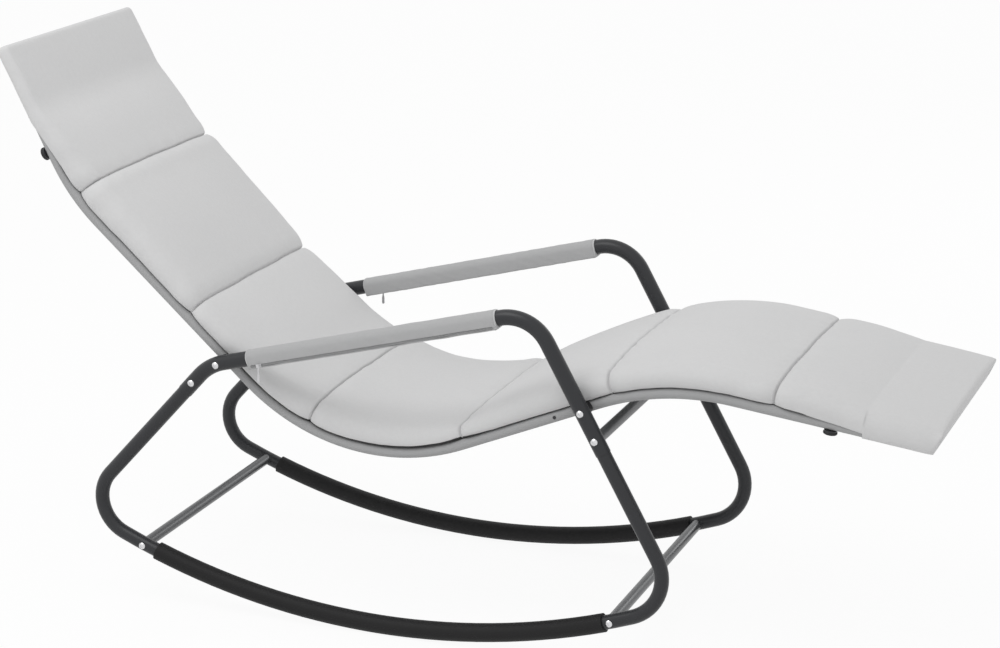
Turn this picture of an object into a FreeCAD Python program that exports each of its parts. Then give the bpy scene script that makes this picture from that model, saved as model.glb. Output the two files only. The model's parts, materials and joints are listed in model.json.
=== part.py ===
import FreeCAD, Part

import math
import os

from FreeCAD import Vector

# A rocking chaise lounge. Two side frames of bent tube, each an armrest over a curved rocker, carry an
# S-shaped seat frame with a fabric sling, and a panelled cushion is hooked over both ends of it.
# Millimetres. While the chair is drawn, x = 0 is over the rocker's lowest point and z = 0 is that
# point of the rocker tube's centreline. +X points to the feet, +Y to the sitter's left, +Z up.

# Side frames
gauge = 540.0                     # between the centrelines of the two side frames
arm_tube_od = 28.2
arm_tube_wall = 0.8
rocker_tube_od = 26.3
rocker_tube_wall = 1.2
rocker_radius = 1355.0            # of the rocker tube's centreline
rear_leg_angle = 47.6             # from the floor
front_leg_angle = 61.2
rear_arm_corner = (-351.0, 461.0)  # where the centrelines of armrest and rear leg would meet
front_arm_corner = (275.5, 621.2)  # where the centrelines of armrest and front leg would meet
rear_arm_bend = 99.0              # bend radii of the centreline
front_arm_bend = 77.0
rear_foot_bend = 72.0
front_foot_bend = 81.0
tube_overlap = 62.0               # length of rocker tube held inside the arm tube
arm_tube_past_screw = 27.0        # from the joint screw to the arm tube's end
front_joint_pitch = 55.0          # from a seat bolt to the joint screw below it
rear_joint_pitch = 65.0

# Rocker sleeves and cross tubes
sleeve_od = 34.4
sleeve_fit = 0.2
floor_flat_depth = 0.5
rear_cross_x = -497.0
front_cross_x = 426.0
sleeve_rear_gap = 27.0            # from the cross tube's axis to the sleeve's end
sleeve_front_gap = 12.0
cross_tube_od = 20.6
cross_tube_wall = 1.2
coping_gap = 0.1                  # between a coped end and the tube it bears on
insert_length = 18.0
insert_fit = 0.1
insert_setback = 3.0

# Seat frame, as the corner points of the rail's centreline
head_end = (-770.4, 1010.9)
shoulder_corner = (-640.5, 748.0)
seat_corner = (-104.1, 255.9)
knee_corner = (502.0, 505.5)
foot_end = (985.5, 443.4)
shoulder_bend = 373.0
seat_bend = 396.0
knee_bend = 474.0
rail_od = 18.0
rail_wall = 1.5
saddle_gap = 13.9                # between an arm tube and the rail inside it
rail_end_setback = 16.0           # from the cushion's end to the end tube's axis
end_tube_od = 18.0
end_tube_overrun = 4.0            # past the rails' axes, plugs included
end_plug_flange = 1.5
rail_joint_offset = 88.0          # from the front seat bolt to the joint of the rail halves
rail_joint_sleeve = 90.0
rail_joint_screw_offset = 22.0    # from the joint to the screw in the lower rail
rail_joint_fit = 0.15
rail_joint_gap = 0.2
head_spreader_offset = 204.0      # from the cushion's ends
foot_spreader_offset = 184.0
spreader_od = 16.0
spreader_wall = 1.2
spreader_tab_thickness = 2.5
spreader_tab_width = 22.0
spreader_tab_reach = 12.0         # past the bolt
spreader_tab_length = 46.0
saddle_od = 20.0
saddle_wrap = 5.0                 # how far a saddle reaches past the rail's outer line
saddle_bore_fit = 0.3

# Fasteners
screw_od = 6.0
screw_hole_fit = 0.3
thread_fit = 0.05
screw_head_od = 13.0
screw_head_height = 3.4
screw_head_gap = 0.05
screw_past_nut = 1.0
screw_end_gap = 2.0               # from a cross tube screw's tip to its insert's end
recess_width = 1.4
recess_length = 6.0
recess_depth = 1.5
nut_width = 10.0
nut_height = 6.0
cap_nut_height = 9.0
cap_nut_step = 0.5
knob_od = 25.0
knob_height = 5.0
knob_rounding = 2.0
knob_screw_length = 24.0
small_screw_od = 3.5
small_screw_head_od = 6.5
small_screw_head_height = 1.6
small_screw_length = 9.0

# Sling
sling_thickness = 0.6
sling_fit = 0.1
sling_sheet_drop = 0.5            # of the sheet's top below the pocket's crest
sling_end_setback = 28.0
sling_hole_od = 9.0

# Cushion
cushion_clearance = 0.5
cushion_overhang = 3.3            # past the pockets on the rails
cushion_seam_draw = 8.0           # how far the sides are drawn in at a seam
# The shape of the cushion's sides, as shares of its thickness
side_bulge = 0.17
side_bulge_rise = 0.37
shoulder_width = 0.45
shoulder_rise = 0.82
cushion_end_round = 10.0
cover_thickness = 1.5
filling_fit = 0.5
filling_seam_margin = 9.0
hood_wall = 2.0
hood_end_wall = 3.0
hood_head_length = 152.0
hood_foot_length = 128.0
hood_side_flat = 0.6              # the upright part of a hood's rounded side
seam_spacing = (298.0, 305.0, 303.0, 318.0, 302.0, 288.0)
pad_start = 126.0                 # from the head end to where the first panel's filling begins
# Each panel's height beside its two seams, and how much fuller its middle is
panel_heights = ((17.0, 64.0), (73.0, 50.0), (46.0, 66.0), (66.0, 44.0), (40.0, 62.0), (60.0, 58.0),
                 (58.0, 44.0))
panel_bulges = (9.0, 3.0, 2.0, 2.0, 8.0, 0.0, 5.0)
foot_pad_heights = (44.0, 40.0)
seam_depth = 6.0                  # below the lower of the panels that meet
seam_sharpness = 18               # the power that rounds a panel's edge at a seam
panel_stations = 11               # cross-sections that shape each panel

# Armrest covers
cover_rear_gap = 54.0             # from the bend to the cover's end
cover_front_gap = 5.0
cover_width = 32.0
cover_height = 33.4
cover_drop = 0.95                 # of the cover's middle below the tube's axis
cover_top_corner = 13.5
cover_corner = 2.5
cover_cloth = 0.8
liner_gap = 0.1
liner_tube_fit = 0.15
liner_side_gap = 0.6              # leaves room for the zip's tape
zip_drop = 12.9                   # of the zip's middle below the armrest's centreline
zip_width = 3.6
zip_slot_fit = 0.3
zip_proud = 1.2
zip_tape = 0.4
zip_tape_gap = 0.05
zip_tape_rise = 11.0
zip_end_margin = 5.0
slider_rest = 25.0                # from the cover's rear end to the closed slider
slider_length = 11.0
slider_plate = 1.2
slider_clearance = 0.3
slider_skirt = 1.0
stud_od = 2.4
stud_head_od = 4.6
stud_head_height = 0.6
pull_length = 32.0                # from the stud to the tip
pull_thickness = 1.1
pull_eye_od = 7.0
pull_tip_width = 5.0
pull_neck_width = 2.8
pull_neck_length = 14.5
pull_fit = 0.08
pull_play = 0.3

UP = Vector(0, 0, 1)
LEFT = Vector(0, 1, 0)
SIDES = (("right", -1), ("left", 1))


class Straight:
    """A straight run in the XZ plane."""

    def __init__(self, start, end):
        self.start = start
        self.end = end
        self.length = start.distanceToPoint(end)
        self.direction = (end - start).normalize()

    def place(self, distance):
        return self.start + self.direction * distance, self.direction

    def part(self, first, last):
        return Straight(self.place(first)[0], self.place(last)[0])

    def edge(self, y):
        shift = LEFT * y
        return Part.LineSegment(self.start + shift, self.end + shift).toShape()


class Bend:
    """A round run in the XZ plane. turn is +1 where it curls to the left of its travel, seen along +Y."""

    def __init__(self, centre, radius, first, sweep, turn):
        self.centre = centre
        self.radius = radius
        self.first = first
        self.turn = turn
        self.length = radius * sweep

    def place(self, distance):
        angle = self.first + self.turn * distance / self.radius
        spoke = Vector(math.cos(angle), 0, math.sin(angle))
        return self.centre + spoke * self.radius, Vector(-spoke.z, 0, spoke.x) * self.turn

    def part(self, first, last):
        start = self.first + self.turn * first / self.radius
        return Bend(self.centre, self.radius, start, (last - first) / self.radius, self.turn)

    def edge(self, y):
        shift = LEFT * y
        points = [self.place(share * self.length)[0] + shift for share in (0, 0.5, 1)]
        return Part.Arc(*points).toShape()


class Track:
    """Straights and bends that follow on from each other, such as a tube's centreline."""

    def __init__(self, pieces):
        self.pieces = pieces
        self.length = sum(piece.length for piece in pieces)

    def place(self, distance):
        for piece in self.pieces[:-1]:
            if distance <= piece.length:
                return piece.place(distance)
            distance -= piece.length
        return self.pieces[-1].place(distance)

    def part(self, first, last):
        pieces = []
        passed = 0.0
        for piece in self.pieces:
            low = max(first - passed, 0.0)
            high = min(last - passed, piece.length)
            if high - low > 1e-6:
                pieces.append(piece.part(low, high))
            passed += piece.length
        return Track(pieces)

    def wire(self, y):
        return Part.Wire([piece.edge(y) for piece in self.pieces])


def flat(x, z):
    return Vector(x, 0, z)


def heading(degrees):
    return Vector(math.cos(math.radians(degrees)), 0, math.sin(math.radians(degrees)))


def above(direction):
    """The direction at right angles in the XZ plane, upwards for a run towards +X."""
    return Vector(-direction.z, 0, direction.x)


def angle_of(vector):
    return math.atan2(vector.z, vector.x)


def bend_between(before, after, corner, radius):
    """The bend that joins two straights at their corner, with its two tangent points."""
    half_turn = before.getAngle(after) / 2
    reach = radius * math.tan(half_turn)
    start = corner - before * reach
    end = corner + after * reach
    turn = 1 if above(before).dot(after) > 0 else -1
    centre = start + above(before) * (radius * turn)
    return Bend(centre, radius, angle_of(start - centre), 2 * half_turn, turn), start, end


def cornered_track(corners, radii):
    """A track through corner points, rounded at each inner one."""
    pieces = []
    here = corners[0]
    for before, corner, after, radius in zip(corners, corners[1:], corners[2:], radii):
        arriving = (corner - before).normalize()
        leaving = (after - corner).normalize()
        bend, start, end = bend_between(arriving, leaving, corner, radius)
        pieces += [Straight(here, start), bend]
        here = end
    return Track(pieces + [Straight(here, corners[-1])])


def foot_bend_centre(point, direction, radius, rocker_centre, outwards):
    """Centre of the bend that joins a leg's line to the rocker's circle, inside both."""
    line_point = point + above(direction) * radius
    along = (line_point - rocker_centre).dot(direction)
    gap = (line_point - rocker_centre).Length ** 2 - (rocker_radius - radius) ** 2
    return line_point + direction * (outwards * math.sqrt(along ** 2 - gap) - along)


def crossing(straight, track):
    """Where a straight's line meets a track: the distances along both, and the point."""
    passed = 0.0
    for piece in track.pieces:
        steps = 64
        for step in range(steps):
            low = piece.length * step / steps
            high = piece.length * (step + 1) / steps
            up = above(straight.direction)
            lift = [(piece.place(at)[0] - straight.start).dot(up) for at in (low, high)]
            if lift[0] * lift[1] > 0 or lift[0] == lift[1]:
                continue
            at = low + (high - low) * lift[0] / (lift[0] - lift[1])
            point = piece.place(at)[0]
            along = (point - straight.start).dot(straight.direction)
            if 0 <= along <= straight.length:
                return along, passed + at, point
        passed += piece.length
    return None


def rod(centre, direction, radius, length):
    return Part.makeCylinder(radius, length, centre, direction)


def holed_face(outline, holes):
    face = Part.Face(outline)
    for hole in holes:
        face = face.cut(Part.Face(hole))
    return face.Faces[0]


def solid_tube(track, y, radius):
    """A solid bar along a track."""
    start, direction = track.place(0)
    ring = Part.Wire(Part.Circle(start + LEFT * y, direction, radius).toShape())
    return track.wire(y).makePipe(Part.Face(ring))


def hollow_tube(track, y, outer, inner):
    """A tube along a track."""
    start, direction = track.place(0)
    centre = start + LEFT * y
    rings = [Part.Wire(Part.Circle(centre, direction, radius).toShape()) for radius in (outer, inner)]
    return track.wire(y).makePipe(holed_face(rings[0], rings[1:]))


def section_point(track, distance, y, height):
    """A point of the cross-section at a distance along a track."""
    point, direction = track.place(distance)
    return point + LEFT * y + above(direction) * height


def box_along(track, y_range, height_range):
    """A rectangular bar along a track, from its section's ranges in y and in height."""
    low, high = height_range
    first, last = y_range
    places = ((first, low), (last, low), (last, high), (first, high))
    corners = [section_point(track, 0, y, height) for y, height in places]
    return track.wire(0).makePipe(Part.Face(Part.makePolygon(corners + corners[:1])))


def rounded_section(track, half_width, half_height, corners, y_centre, height_centre):
    """A rectangle with round corners, square to the start of a track. The first radius of corners is
    for those against above()."""
    arcs = []
    for y_sign, side in ((1, -1), (1, 1), (-1, 1), (-1, -1)):
        corner = corners[0] if side < 0 else corners[1]
        flat_y = half_width - corner
        flat_h = half_height - corner
        knee = corner * math.sqrt(0.5)
        on_side = (y_sign * half_width, side * flat_h)
        on_face = (y_sign * flat_y, side * half_height)
        middle = (y_sign * (flat_y + knee), side * (flat_h + knee))
        arc = (on_face, middle, on_side) if y_sign * side < 0 else (on_side, middle, on_face)
        arcs.append([section_point(track, 0, y_centre + y, height_centre + height) for y, height in arc])
    edges = []
    for arc, following in zip(arcs, arcs[1:] + arcs[:1]):
        edges.append(Part.Arc(*arc).toShape())
        edges.append(Part.LineSegment(arc[2], following[0]).toShape())
    return Part.Wire(edges)


def joined(shapes):
    whole = shapes[0]
    for shape in shapes[1:]:
        whole = whole.fuse(shape)
    return whole.removeSplitter()


def hexagon_nut(centre, direction, height):
    """A plain nut with its thread's bore."""
    corner_radius = nut_width / math.sqrt(3)
    turn = FreeCAD.Rotation(UP, direction)
    corners = [Vector(math.cos(k * math.pi / 3), math.sin(k * math.pi / 3), 0) for k in range(6)]
    outline = [centre + turn.multVec(corner * corner_radius) for corner in corners]
    prism = Part.Face(Part.makePolygon(outline + outline[:1])).extrude(direction * height)
    return prism.cut(rod(centre, direction, screw_od / 2 + thread_fit, height))


def pan_screw(seat, direction, length):
    """A screw whose domed head bears on a tube at seat and whose shank runs along direction."""
    head_base = seat - direction * screw_head_gap
    dome_radius = (screw_head_od ** 2 / 4 + screw_head_height ** 2) / (2 * screw_head_height)
    dome_centre = head_base - direction * (screw_head_height - dome_radius)
    head = rod(head_base, direction * -1, screw_head_od / 2, screw_head_height)
    head = head.common(Part.makeSphere(dome_radius, dome_centre))
    turn = FreeCAD.Rotation(UP, direction * -1)
    top = head_base - direction * (screw_head_height - recess_depth)
    for quarter in (0, 1):
        spin = turn.multiply(FreeCAD.Rotation(UP, 45 + 90 * quarter))
        slot = Part.makeBox(recess_length, recess_width, 2 * recess_depth,
                            Vector(-recess_length / 2, -recess_width / 2, 0))
        slot.Placement = FreeCAD.Placement(top, spin)
        head = head.cut(slot)
    return joined([head, rod(head_base, direction, screw_od / 2, length)])


# Centrelines of the side frame, walked from the front joint over the armrest and down to the rocker
rocker_centre = flat(0, rocker_radius)
rear_corner = flat(*rear_arm_corner)
front_corner = flat(*front_arm_corner)
front_up = heading(180 - front_leg_angle)
rear_down = heading(180 + rear_leg_angle)

front_foot_centre = foot_bend_centre(front_corner, front_up, front_foot_bend, rocker_centre, -1)
rear_foot_centre = foot_bend_centre(rear_corner, rear_down, rear_foot_bend, rocker_centre, 1)
front_foot_top = front_foot_centre - above(front_up) * front_foot_bend
rear_foot_top = rear_foot_centre - above(rear_down) * rear_foot_bend

loop = cornered_track([front_foot_top, front_corner, rear_corner, rear_foot_top],
                      [front_arm_bend, rear_arm_bend])

seat_track = cornered_track([flat(*head_end), flat(*shoulder_corner), flat(*seat_corner),
                             flat(*knee_corner), flat(*foot_end)],
                            [shoulder_bend, seat_bend, knee_bend])
back_straight = seat_track.pieces[2]
thigh_straight = seat_track.pieces[4]
back_start = seat_track.pieces[0].length + seat_track.pieces[1].length
thigh_start = back_start + back_straight.length + seat_track.pieces[3].length

# Seat bolts go where the rails pass the side frames, and the joint screws sit below them
rear_along, rear_bolt_at, rear_bolt = crossing(back_straight, loop)
front_along, front_bolt_at, front_bolt = crossing(thigh_straight, loop)
front_joint_at = front_bolt_at - front_joint_pitch
rear_joint_at = rear_bolt_at + rear_joint_pitch
front_joint, front_joint_heading = loop.place(front_joint_at)
rear_joint, rear_joint_heading = loop.place(rear_joint_at)
arm_track = loop.part(front_joint_at - arm_tube_past_screw, rear_joint_at + arm_tube_past_screw)

front_insert_at = front_joint_at - arm_tube_past_screw + tube_overlap
rear_insert_at = rear_joint_at + arm_tube_past_screw - tube_overlap
front_foot_low = angle_of(front_foot_centre - rocker_centre)
rear_foot_low = angle_of(rear_foot_centre - rocker_centre)
rear_foot_first = angle_of(rear_foot_top - rear_foot_centre)
rear_foot_sweep = (rear_foot_low - rear_foot_first) % (2 * math.pi)
front_foot_last = angle_of(front_foot_top - front_foot_centre)
front_foot_sweep = (front_foot_last - front_foot_low) % (2 * math.pi)
rocker_bend = Bend(rocker_centre, rocker_radius, rear_foot_low, front_foot_low - rear_foot_low, 1)
rocker_track = Track(
    loop.part(rear_insert_at, loop.length).pieces
    + [Bend(rear_foot_centre, rear_foot_bend, rear_foot_first, rear_foot_sweep, 1),
       rocker_bend,
       Bend(front_foot_centre, front_foot_bend, front_foot_low, front_foot_sweep, 1)]
    + loop.part(0, front_insert_at).pieces)

side_y = gauge / 2
arm_radius = arm_tube_od / 2
rail_radius = rail_od / 2
rail_half_span = side_y - arm_radius - saddle_gap - rail_radius
arm_bore = arm_radius - arm_tube_wall
rocker_radius_out = rocker_tube_od / 2
floor_z = floor_flat_depth - sleeve_od / 2


def rocker_point(x):
    return flat(x, rocker_radius - math.sqrt(rocker_radius ** 2 - x ** 2))


rear_cross = rocker_point(rear_cross_x)
front_cross = rocker_point(front_cross_x)
frame_holes = [front_bolt, rear_bolt, front_joint, rear_joint]


def cross_hole(point, y, od):
    """A hole along Y through a tube at a screw."""
    return rod(point + LEFT * (y - od), LEFT, screw_od / 2 + screw_hole_fit, 2 * od)


def arm_tube(sign):
    y = sign * side_y
    tube = hollow_tube(arm_track, y, arm_radius, arm_bore)
    for point in frame_holes:
        tube = tube.cut(cross_hole(point, y, arm_tube_od))
    return tube


def rocker_tube(sign):
    y = sign * side_y
    tube = hollow_tube(rocker_track, y, rocker_radius_out, rocker_radius_out - rocker_tube_wall)
    for point in (front_joint, rear_joint, rear_cross, front_cross):
        tube = tube.cut(cross_hole(point, y, arm_tube_od))
    return tube


def sleeve_track():
    """The stretch of the rocker between the two cross tubes that its sleeve covers."""
    half_turn = math.pi / 2
    start = math.asin((rear_cross_x + sleeve_rear_gap) / rocker_radius) - half_turn
    end = math.asin((front_cross_x - sleeve_front_gap) / rocker_radius) - half_turn
    return Track([Bend(rocker_centre, rocker_radius, start, end - start, 1)])


def rocker_sleeve(sign):
    y = sign * side_y
    sleeve = hollow_tube(sleeve_track(), y, sleeve_od / 2, rocker_radius_out + sleeve_fit)
    reach = rocker_radius
    corner = Vector(-reach, y - sleeve_od, floor_z - sleeve_od)
    below = Part.makeBox(2 * reach, 2 * sleeve_od, sleeve_od, corner)
    return sleeve.cut(below)


def cross_tube(point, side_track, side_radius):
    """A tube between the side frames, its ends coped round the side tubes."""
    start = point - LEFT * side_y
    bar = rod(start, LEFT, cross_tube_od / 2, gauge)
    bar = bar.cut(rod(start, LEFT, cross_tube_od / 2 - cross_tube_wall, gauge))
    for sign in (-1, 1):
        bar = bar.cut(solid_tube(side_track, sign * side_y, side_radius + coping_gap))
    return bar


def cross_inserts(point, side_radius, sign):
    """The threaded plug in one end of a cross tube."""
    radius = cross_tube_od / 2 - cross_tube_wall - insert_fit
    start = point + LEFT * (sign * (side_y - side_radius - insert_setback))
    plug = rod(start, LEFT * -sign, radius, insert_length)
    return plug.cut(rod(start, LEFT * -sign, screw_od / 2 + thread_fit, insert_length))


def side_screw(point, tube_radius, sign, length):
    """A screw driven from outside through a side frame."""
    seat = point + LEFT * (sign * (side_y + tube_radius))
    return pan_screw(seat, LEFT * -sign, length)


rail_bore = rail_radius - rail_wall
pocket_bore = rail_radius + sling_fit
pocket_radius = pocket_bore + sling_thickness
rail_start = rail_end_setback
rail_end = seat_track.length - rail_end_setback
front_bolt_on_rail = thigh_start + front_along
rear_bolt_on_rail = back_start + rear_along
rail_joint_at = front_bolt_on_rail - rail_joint_offset
rail_joint = seat_track.place(rail_joint_at)[0]
rail_screw_spot = seat_track.place(rail_joint_at + rail_joint_screw_offset)[0]
spreader_spots = [head_spreader_offset, seat_track.length - foot_spreader_offset]


def side_hole(point, y, od, hole_od):
    return rod(point + LEFT * (y - od), LEFT, hole_od / 2, 2 * od)


def spreader_hole(distance, y, radius):
    """A hole square to the rail, through its lower wall."""
    point, direction = seat_track.place(distance)
    return rod(point + LEFT * y - above(direction) * knob_screw_length, above(direction), radius,
               knob_screw_length)


def rail_half(sign, first, last, bolts, screws, spreader):
    y = sign * rail_half_span
    rail = hollow_tube(seat_track.part(first, last), y, rail_radius, rail_bore)
    for spot in (rail_start, rail_end):
        end = seat_track.place(spot)[0] - LEFT * (gauge / 2)
        rail = rail.cut(rod(end, LEFT, end_tube_od / 2 + coping_gap, gauge))
    for bolt in bolts:
        rail = rail.cut(side_hole(bolt, y, rail_od, screw_od + 2 * screw_hole_fit))
    for screw in screws:
        outside = screw + LEFT * y
        rail = rail.cut(rod(outside, LEFT * sign, small_screw_od / 2 + thread_fit, rail_od))
    return rail.cut(spreader_hole(spreader, y, screw_od / 2 + screw_hole_fit))


def rail_joint_tube(sign):
    """The short tube inside both rail halves."""
    y = sign * rail_half_span
    track = seat_track.part(rail_joint_at - rail_joint_sleeve / 2, rail_joint_at + rail_joint_sleeve / 2)
    outer = rail_bore - rail_joint_fit
    tube = hollow_tube(track, y, outer, outer - rail_wall)
    return tube.cut(rod(rail_screw_spot + LEFT * y, LEFT * sign, small_screw_od / 2 + thread_fit, rail_od))


def rail_joint_screw(sign):
    seat = rail_screw_spot + LEFT * (sign * (rail_half_span + rail_radius))
    head = rod(seat, LEFT * sign, small_screw_head_od / 2, small_screw_head_height)
    head = head.makeFillet(small_screw_head_height / 2, [head.Edges[0]])
    return joined([head, rod(seat, LEFT * -sign, small_screw_od / 2, small_screw_length)])


def end_tube(distance):
    """The tube that joins the rails at one end of the seat frame."""
    half = rail_half_span + end_tube_overrun - end_plug_flange
    start = seat_track.place(distance)[0] - LEFT * half
    bar = rod(start, LEFT, end_tube_od / 2, 2 * half)
    return bar.cut(rod(start, LEFT, end_tube_od / 2 - rail_wall, 2 * half))


def end_plug(distance, sign):
    """The cap in an open end of an end tube."""
    tube_end = rail_half_span + end_tube_overrun - end_plug_flange
    face = seat_track.place(distance)[0] + LEFT * (sign * tube_end)
    flange = rod(face, LEFT * sign, end_tube_od / 2, end_plug_flange)
    stem = rod(face, LEFT * -sign, end_tube_od / 2 - rail_wall - insert_fit, insert_length / 2)
    return joined([flange, stem])


def spreader(distance):
    """A cross bar under the rails, its ends flattened to tabs that the knob screws hold."""
    point, direction = seat_track.place(distance)
    up = above(direction)
    tab_top = -pocket_radius - sling_fit
    tab_middle = point + up * (tab_top - spreader_tab_thickness / 2)
    tab_end = rail_half_span + spreader_tab_reach
    tube_end = tab_end - spreader_tab_length
    parts = [rod(tab_middle - LEFT * tube_end, LEFT, spreader_od / 2, 2 * tube_end)]
    half_width = direction * (spreader_tab_width / 2)
    half_thickness = up * (spreader_tab_thickness / 2)
    for sign in (-1, 1):
        shoulder = tab_middle + LEFT * (sign * tube_end)
        neck = tab_middle + LEFT * (sign * (tube_end + spreader_od))
        tip = tab_middle + LEFT * (sign * (tab_end - spreader_tab_width / 2))
        round_end = Part.Circle(shoulder, LEFT, spreader_od / 2).toShape()
        oval = Part.Ellipse(neck + half_width, neck + half_thickness, neck).toShape()
        parts.append(Part.makeLoft([Part.Wire(round_end), Part.Wire(oval)], True))
        start = shoulder + LEFT * (sign * spreader_od / 2)
        corners = [start - half_width, start + half_width, tip + half_width, tip - half_width]
        outline = [corner - half_thickness for corner in corners]
        parts.append(Part.Face(Part.makePolygon(outline + outline[:1])).extrude(half_thickness * 2))
        parts.append(rod(tip - half_thickness, up, spreader_tab_width / 2, spreader_tab_thickness))
    bar = joined(parts)
    inner = rod(tab_middle - LEFT * tube_end, LEFT, spreader_od / 2 - spreader_wall, 2 * tube_end)
    bar = bar.cut(inner)
    for sign in (-1, 1):
        bar = bar.cut(spreader_hole(distance, sign * rail_half_span, screw_od / 2 + screw_hole_fit))
    return bar


def knob_screw(distance, sign):
    """A screw with a round plastic head that clamps a spreader's tab under a rail."""
    point, direction = seat_track.place(distance)
    up = above(direction)
    base = point + LEFT * (sign * rail_half_span)
    under = base - up * (pocket_radius + sling_fit + spreader_tab_thickness + screw_head_gap)
    head = rod(under, up * -1, knob_od / 2, knob_height)
    head = head.makeFillet(knob_rounding, [edge for edge in head.Edges if edge.Closed])
    return joined([head, rod(under, up, screw_od / 2, knob_screw_length - pocket_radius)])


def rail_insert(distance, sign):
    """The threaded insert in a rail's lower wall."""
    point, direction = seat_track.place(distance)
    up = above(direction)
    base = point + LEFT * (sign * rail_half_span)
    body = rod(base - up * rail_bore, up, nut_width / 2, nut_height)
    body = body.common(rod(base - direction * rail_od, direction, rail_bore - insert_fit, 2 * rail_od))
    return body.cut(rod(base - up * rail_bore, up, screw_od / 2 + thread_fit, 2 * rail_bore))


def saddle(bolt, sign):
    """The spacer between a side frame and a rail, hollowed to fit both."""
    y_frame = sign * side_y
    y_rail = sign * (rail_half_span + saddle_wrap)
    block = rod(bolt + LEFT * y_frame, LEFT * -sign, saddle_od / 2, abs(y_frame - y_rail))
    block = block.cut(solid_tube(arm_track, y_frame, arm_radius + coping_gap))
    block = block.cut(solid_tube(seat_track, sign * rail_half_span, pocket_radius + coping_gap))
    return block.cut(rod(bolt + LEFT * y_frame, LEFT * -sign, screw_od / 2 + saddle_bore_fit, side_y))


def seat_bolt(bolt, sign):
    inner_face = rail_half_span - pocket_radius - sling_fit
    length = side_y + arm_radius - inner_face + nut_height + screw_past_nut
    return side_screw(bolt, arm_radius, sign, length)


def seat_nut(bolt, sign):
    start = bolt + LEFT * (sign * (rail_half_span - pocket_radius - sling_fit))
    return hexagon_nut(start, LEFT * -sign, nut_height)


def joint_nut(point, sign):
    """A domed nut on the inner side of a tube joint."""
    start = point + LEFT * (sign * (side_y - arm_radius - screw_head_gap))
    nut = hexagon_nut(start, LEFT * -sign, nut_height)
    cap_height = cap_nut_height - nut_height
    cap = rod(start + LEFT * (-sign * nut_height), LEFT * -sign, nut_width / 2 - cap_nut_step, cap_height)
    return joined([nut, cap.makeFillet(cap_height / 2, [cap.Edges[0]])])


def sling():
    """One sheet between the rails with a sewn pocket round each."""
    track = seat_track.part(sling_end_setback, seat_track.length - sling_end_setback)
    top = pocket_radius - sling_sheet_drop
    bottom = top - sling_thickness
    top_meet = rail_half_span - math.sqrt(pocket_radius ** 2 - top ** 2)
    bottom_meet = rail_half_span - math.sqrt(pocket_radius ** 2 - bottom ** 2)

    def put(y, height):
        return section_point(track, 0, y, height)

    outer = rail_half_span + pocket_radius
    outline = Part.Wire([
        Part.LineSegment(put(-top_meet, top), put(top_meet, top)).toShape(),
        Part.Arc(put(top_meet, top), put(outer, 0), put(bottom_meet, bottom)).toShape(),
        Part.LineSegment(put(bottom_meet, bottom), put(-bottom_meet, bottom)).toShape(),
        Part.Arc(put(-bottom_meet, bottom), put(-outer, 0), put(-top_meet, top)).toShape()])
    start, direction = track.place(0)
    bores = [Part.Wire(Part.Circle(start + LEFT * (sign * rail_half_span), direction, pocket_bore).toShape())
             for sign in (-1, 1)]
    sheet = track.wire(0).makePipe(holed_face(outline, bores))
    for sign in (-1, 1):
        y = sign * rail_half_span
        for bolt in (front_bolt, rear_bolt):
            sheet = sheet.cut(side_hole(bolt, y, rail_od, sling_hole_od))
        head_hole = small_screw_head_od / 2 + sling_fit
        sheet = sheet.cut(rod(rail_screw_spot + LEFT * y, LEFT * sign, head_hole, rail_od))
        for spot in spreader_spots:
            sheet = sheet.cut(spreader_hole(spot, y, sling_hole_od / 2))
    return sheet


cushion_base = pocket_radius + cushion_clearance
cushion_half_width = rail_half_span + pocket_radius + cushion_overhang


class Panel:
    """One padded panel, from its start to its end on the seat's track."""

    def __init__(self, start, end, heights, bulge, meets):
        self.start = start
        self.end = end
        self.heights = heights
        self.bulge = bulge
        self.drops = [height - meet for height, meet in zip(heights, meets)]

    def edges(self, share):
        """How near a place is to the start and to the end, each from 1 on the line to 0 away from it."""
        return (1 - share) ** seam_sharpness, share ** seam_sharpness

    def top(self, share):
        """The crown's height over the rails' axis."""
        first, last = self.heights
        full = first + (last - first) * share + self.bulge * (1 - (2 * share - 1) ** 2)
        return full - sum(drop * edge for drop, edge in zip(self.drops, self.edges(share)))

    def half_width(self, share):
        """The panel is drawn in where it ends in a seam."""
        drawn = sum(edge for drop, edge in zip(self.drops, self.edges(share)) if drop > 0)
        return cushion_half_width - cushion_seam_draw * drawn


def cushion_panels():
    """The panels from the head to the foot, and the padding on the foot hood."""
    lines = [pad_start, seam_spacing[0]]
    for spacing in seam_spacing[1:]:
        lines.append(lines[-1] + spacing)
    lines += [seat_track.length - hood_foot_length, seat_track.length]
    heights = [*panel_heights, foot_pad_heights]
    seams = [min(before[1], after[0]) - seam_depth for before, after in zip(panel_heights, panel_heights[1:])]
    meets = [panel_heights[0][0], *seams, foot_pad_heights[0], foot_pad_heights[1] - cushion_end_round]
    bulges = [*panel_bulges, 0]
    return [Panel(*values) for values in zip(lines, lines[1:], heights, bulges, zip(meets, meets[1:]))]


def panel_section(distance, half_width, base, top, inset):
    """A section of the cushion: flat below, drawn-in bulging sides and a crowned top."""
    def put(y, height):
        return section_point(seat_track, distance, y, height)

    thickness = top - base
    side = half_width - inset
    foot = side - side_bulge * thickness
    corner = side - shoulder_width * thickness
    low = base + inset
    crest = top - inset
    edge = low + (crest - low) * shoulder_rise
    middle = low + (crest - low) * side_bulge_rise
    return Part.Wire([
        Part.LineSegment(put(-foot, low), put(foot, low)).toShape(),
        Part.Arc(put(foot, low), put(side, middle), put(corner, edge)).toShape(),
        Part.Arc(put(corner, edge), put(0, crest), put(-corner, edge)).toShape(),
        Part.Arc(put(-corner, edge), put(-side, middle), put(-foot, low)).toShape()])


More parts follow.
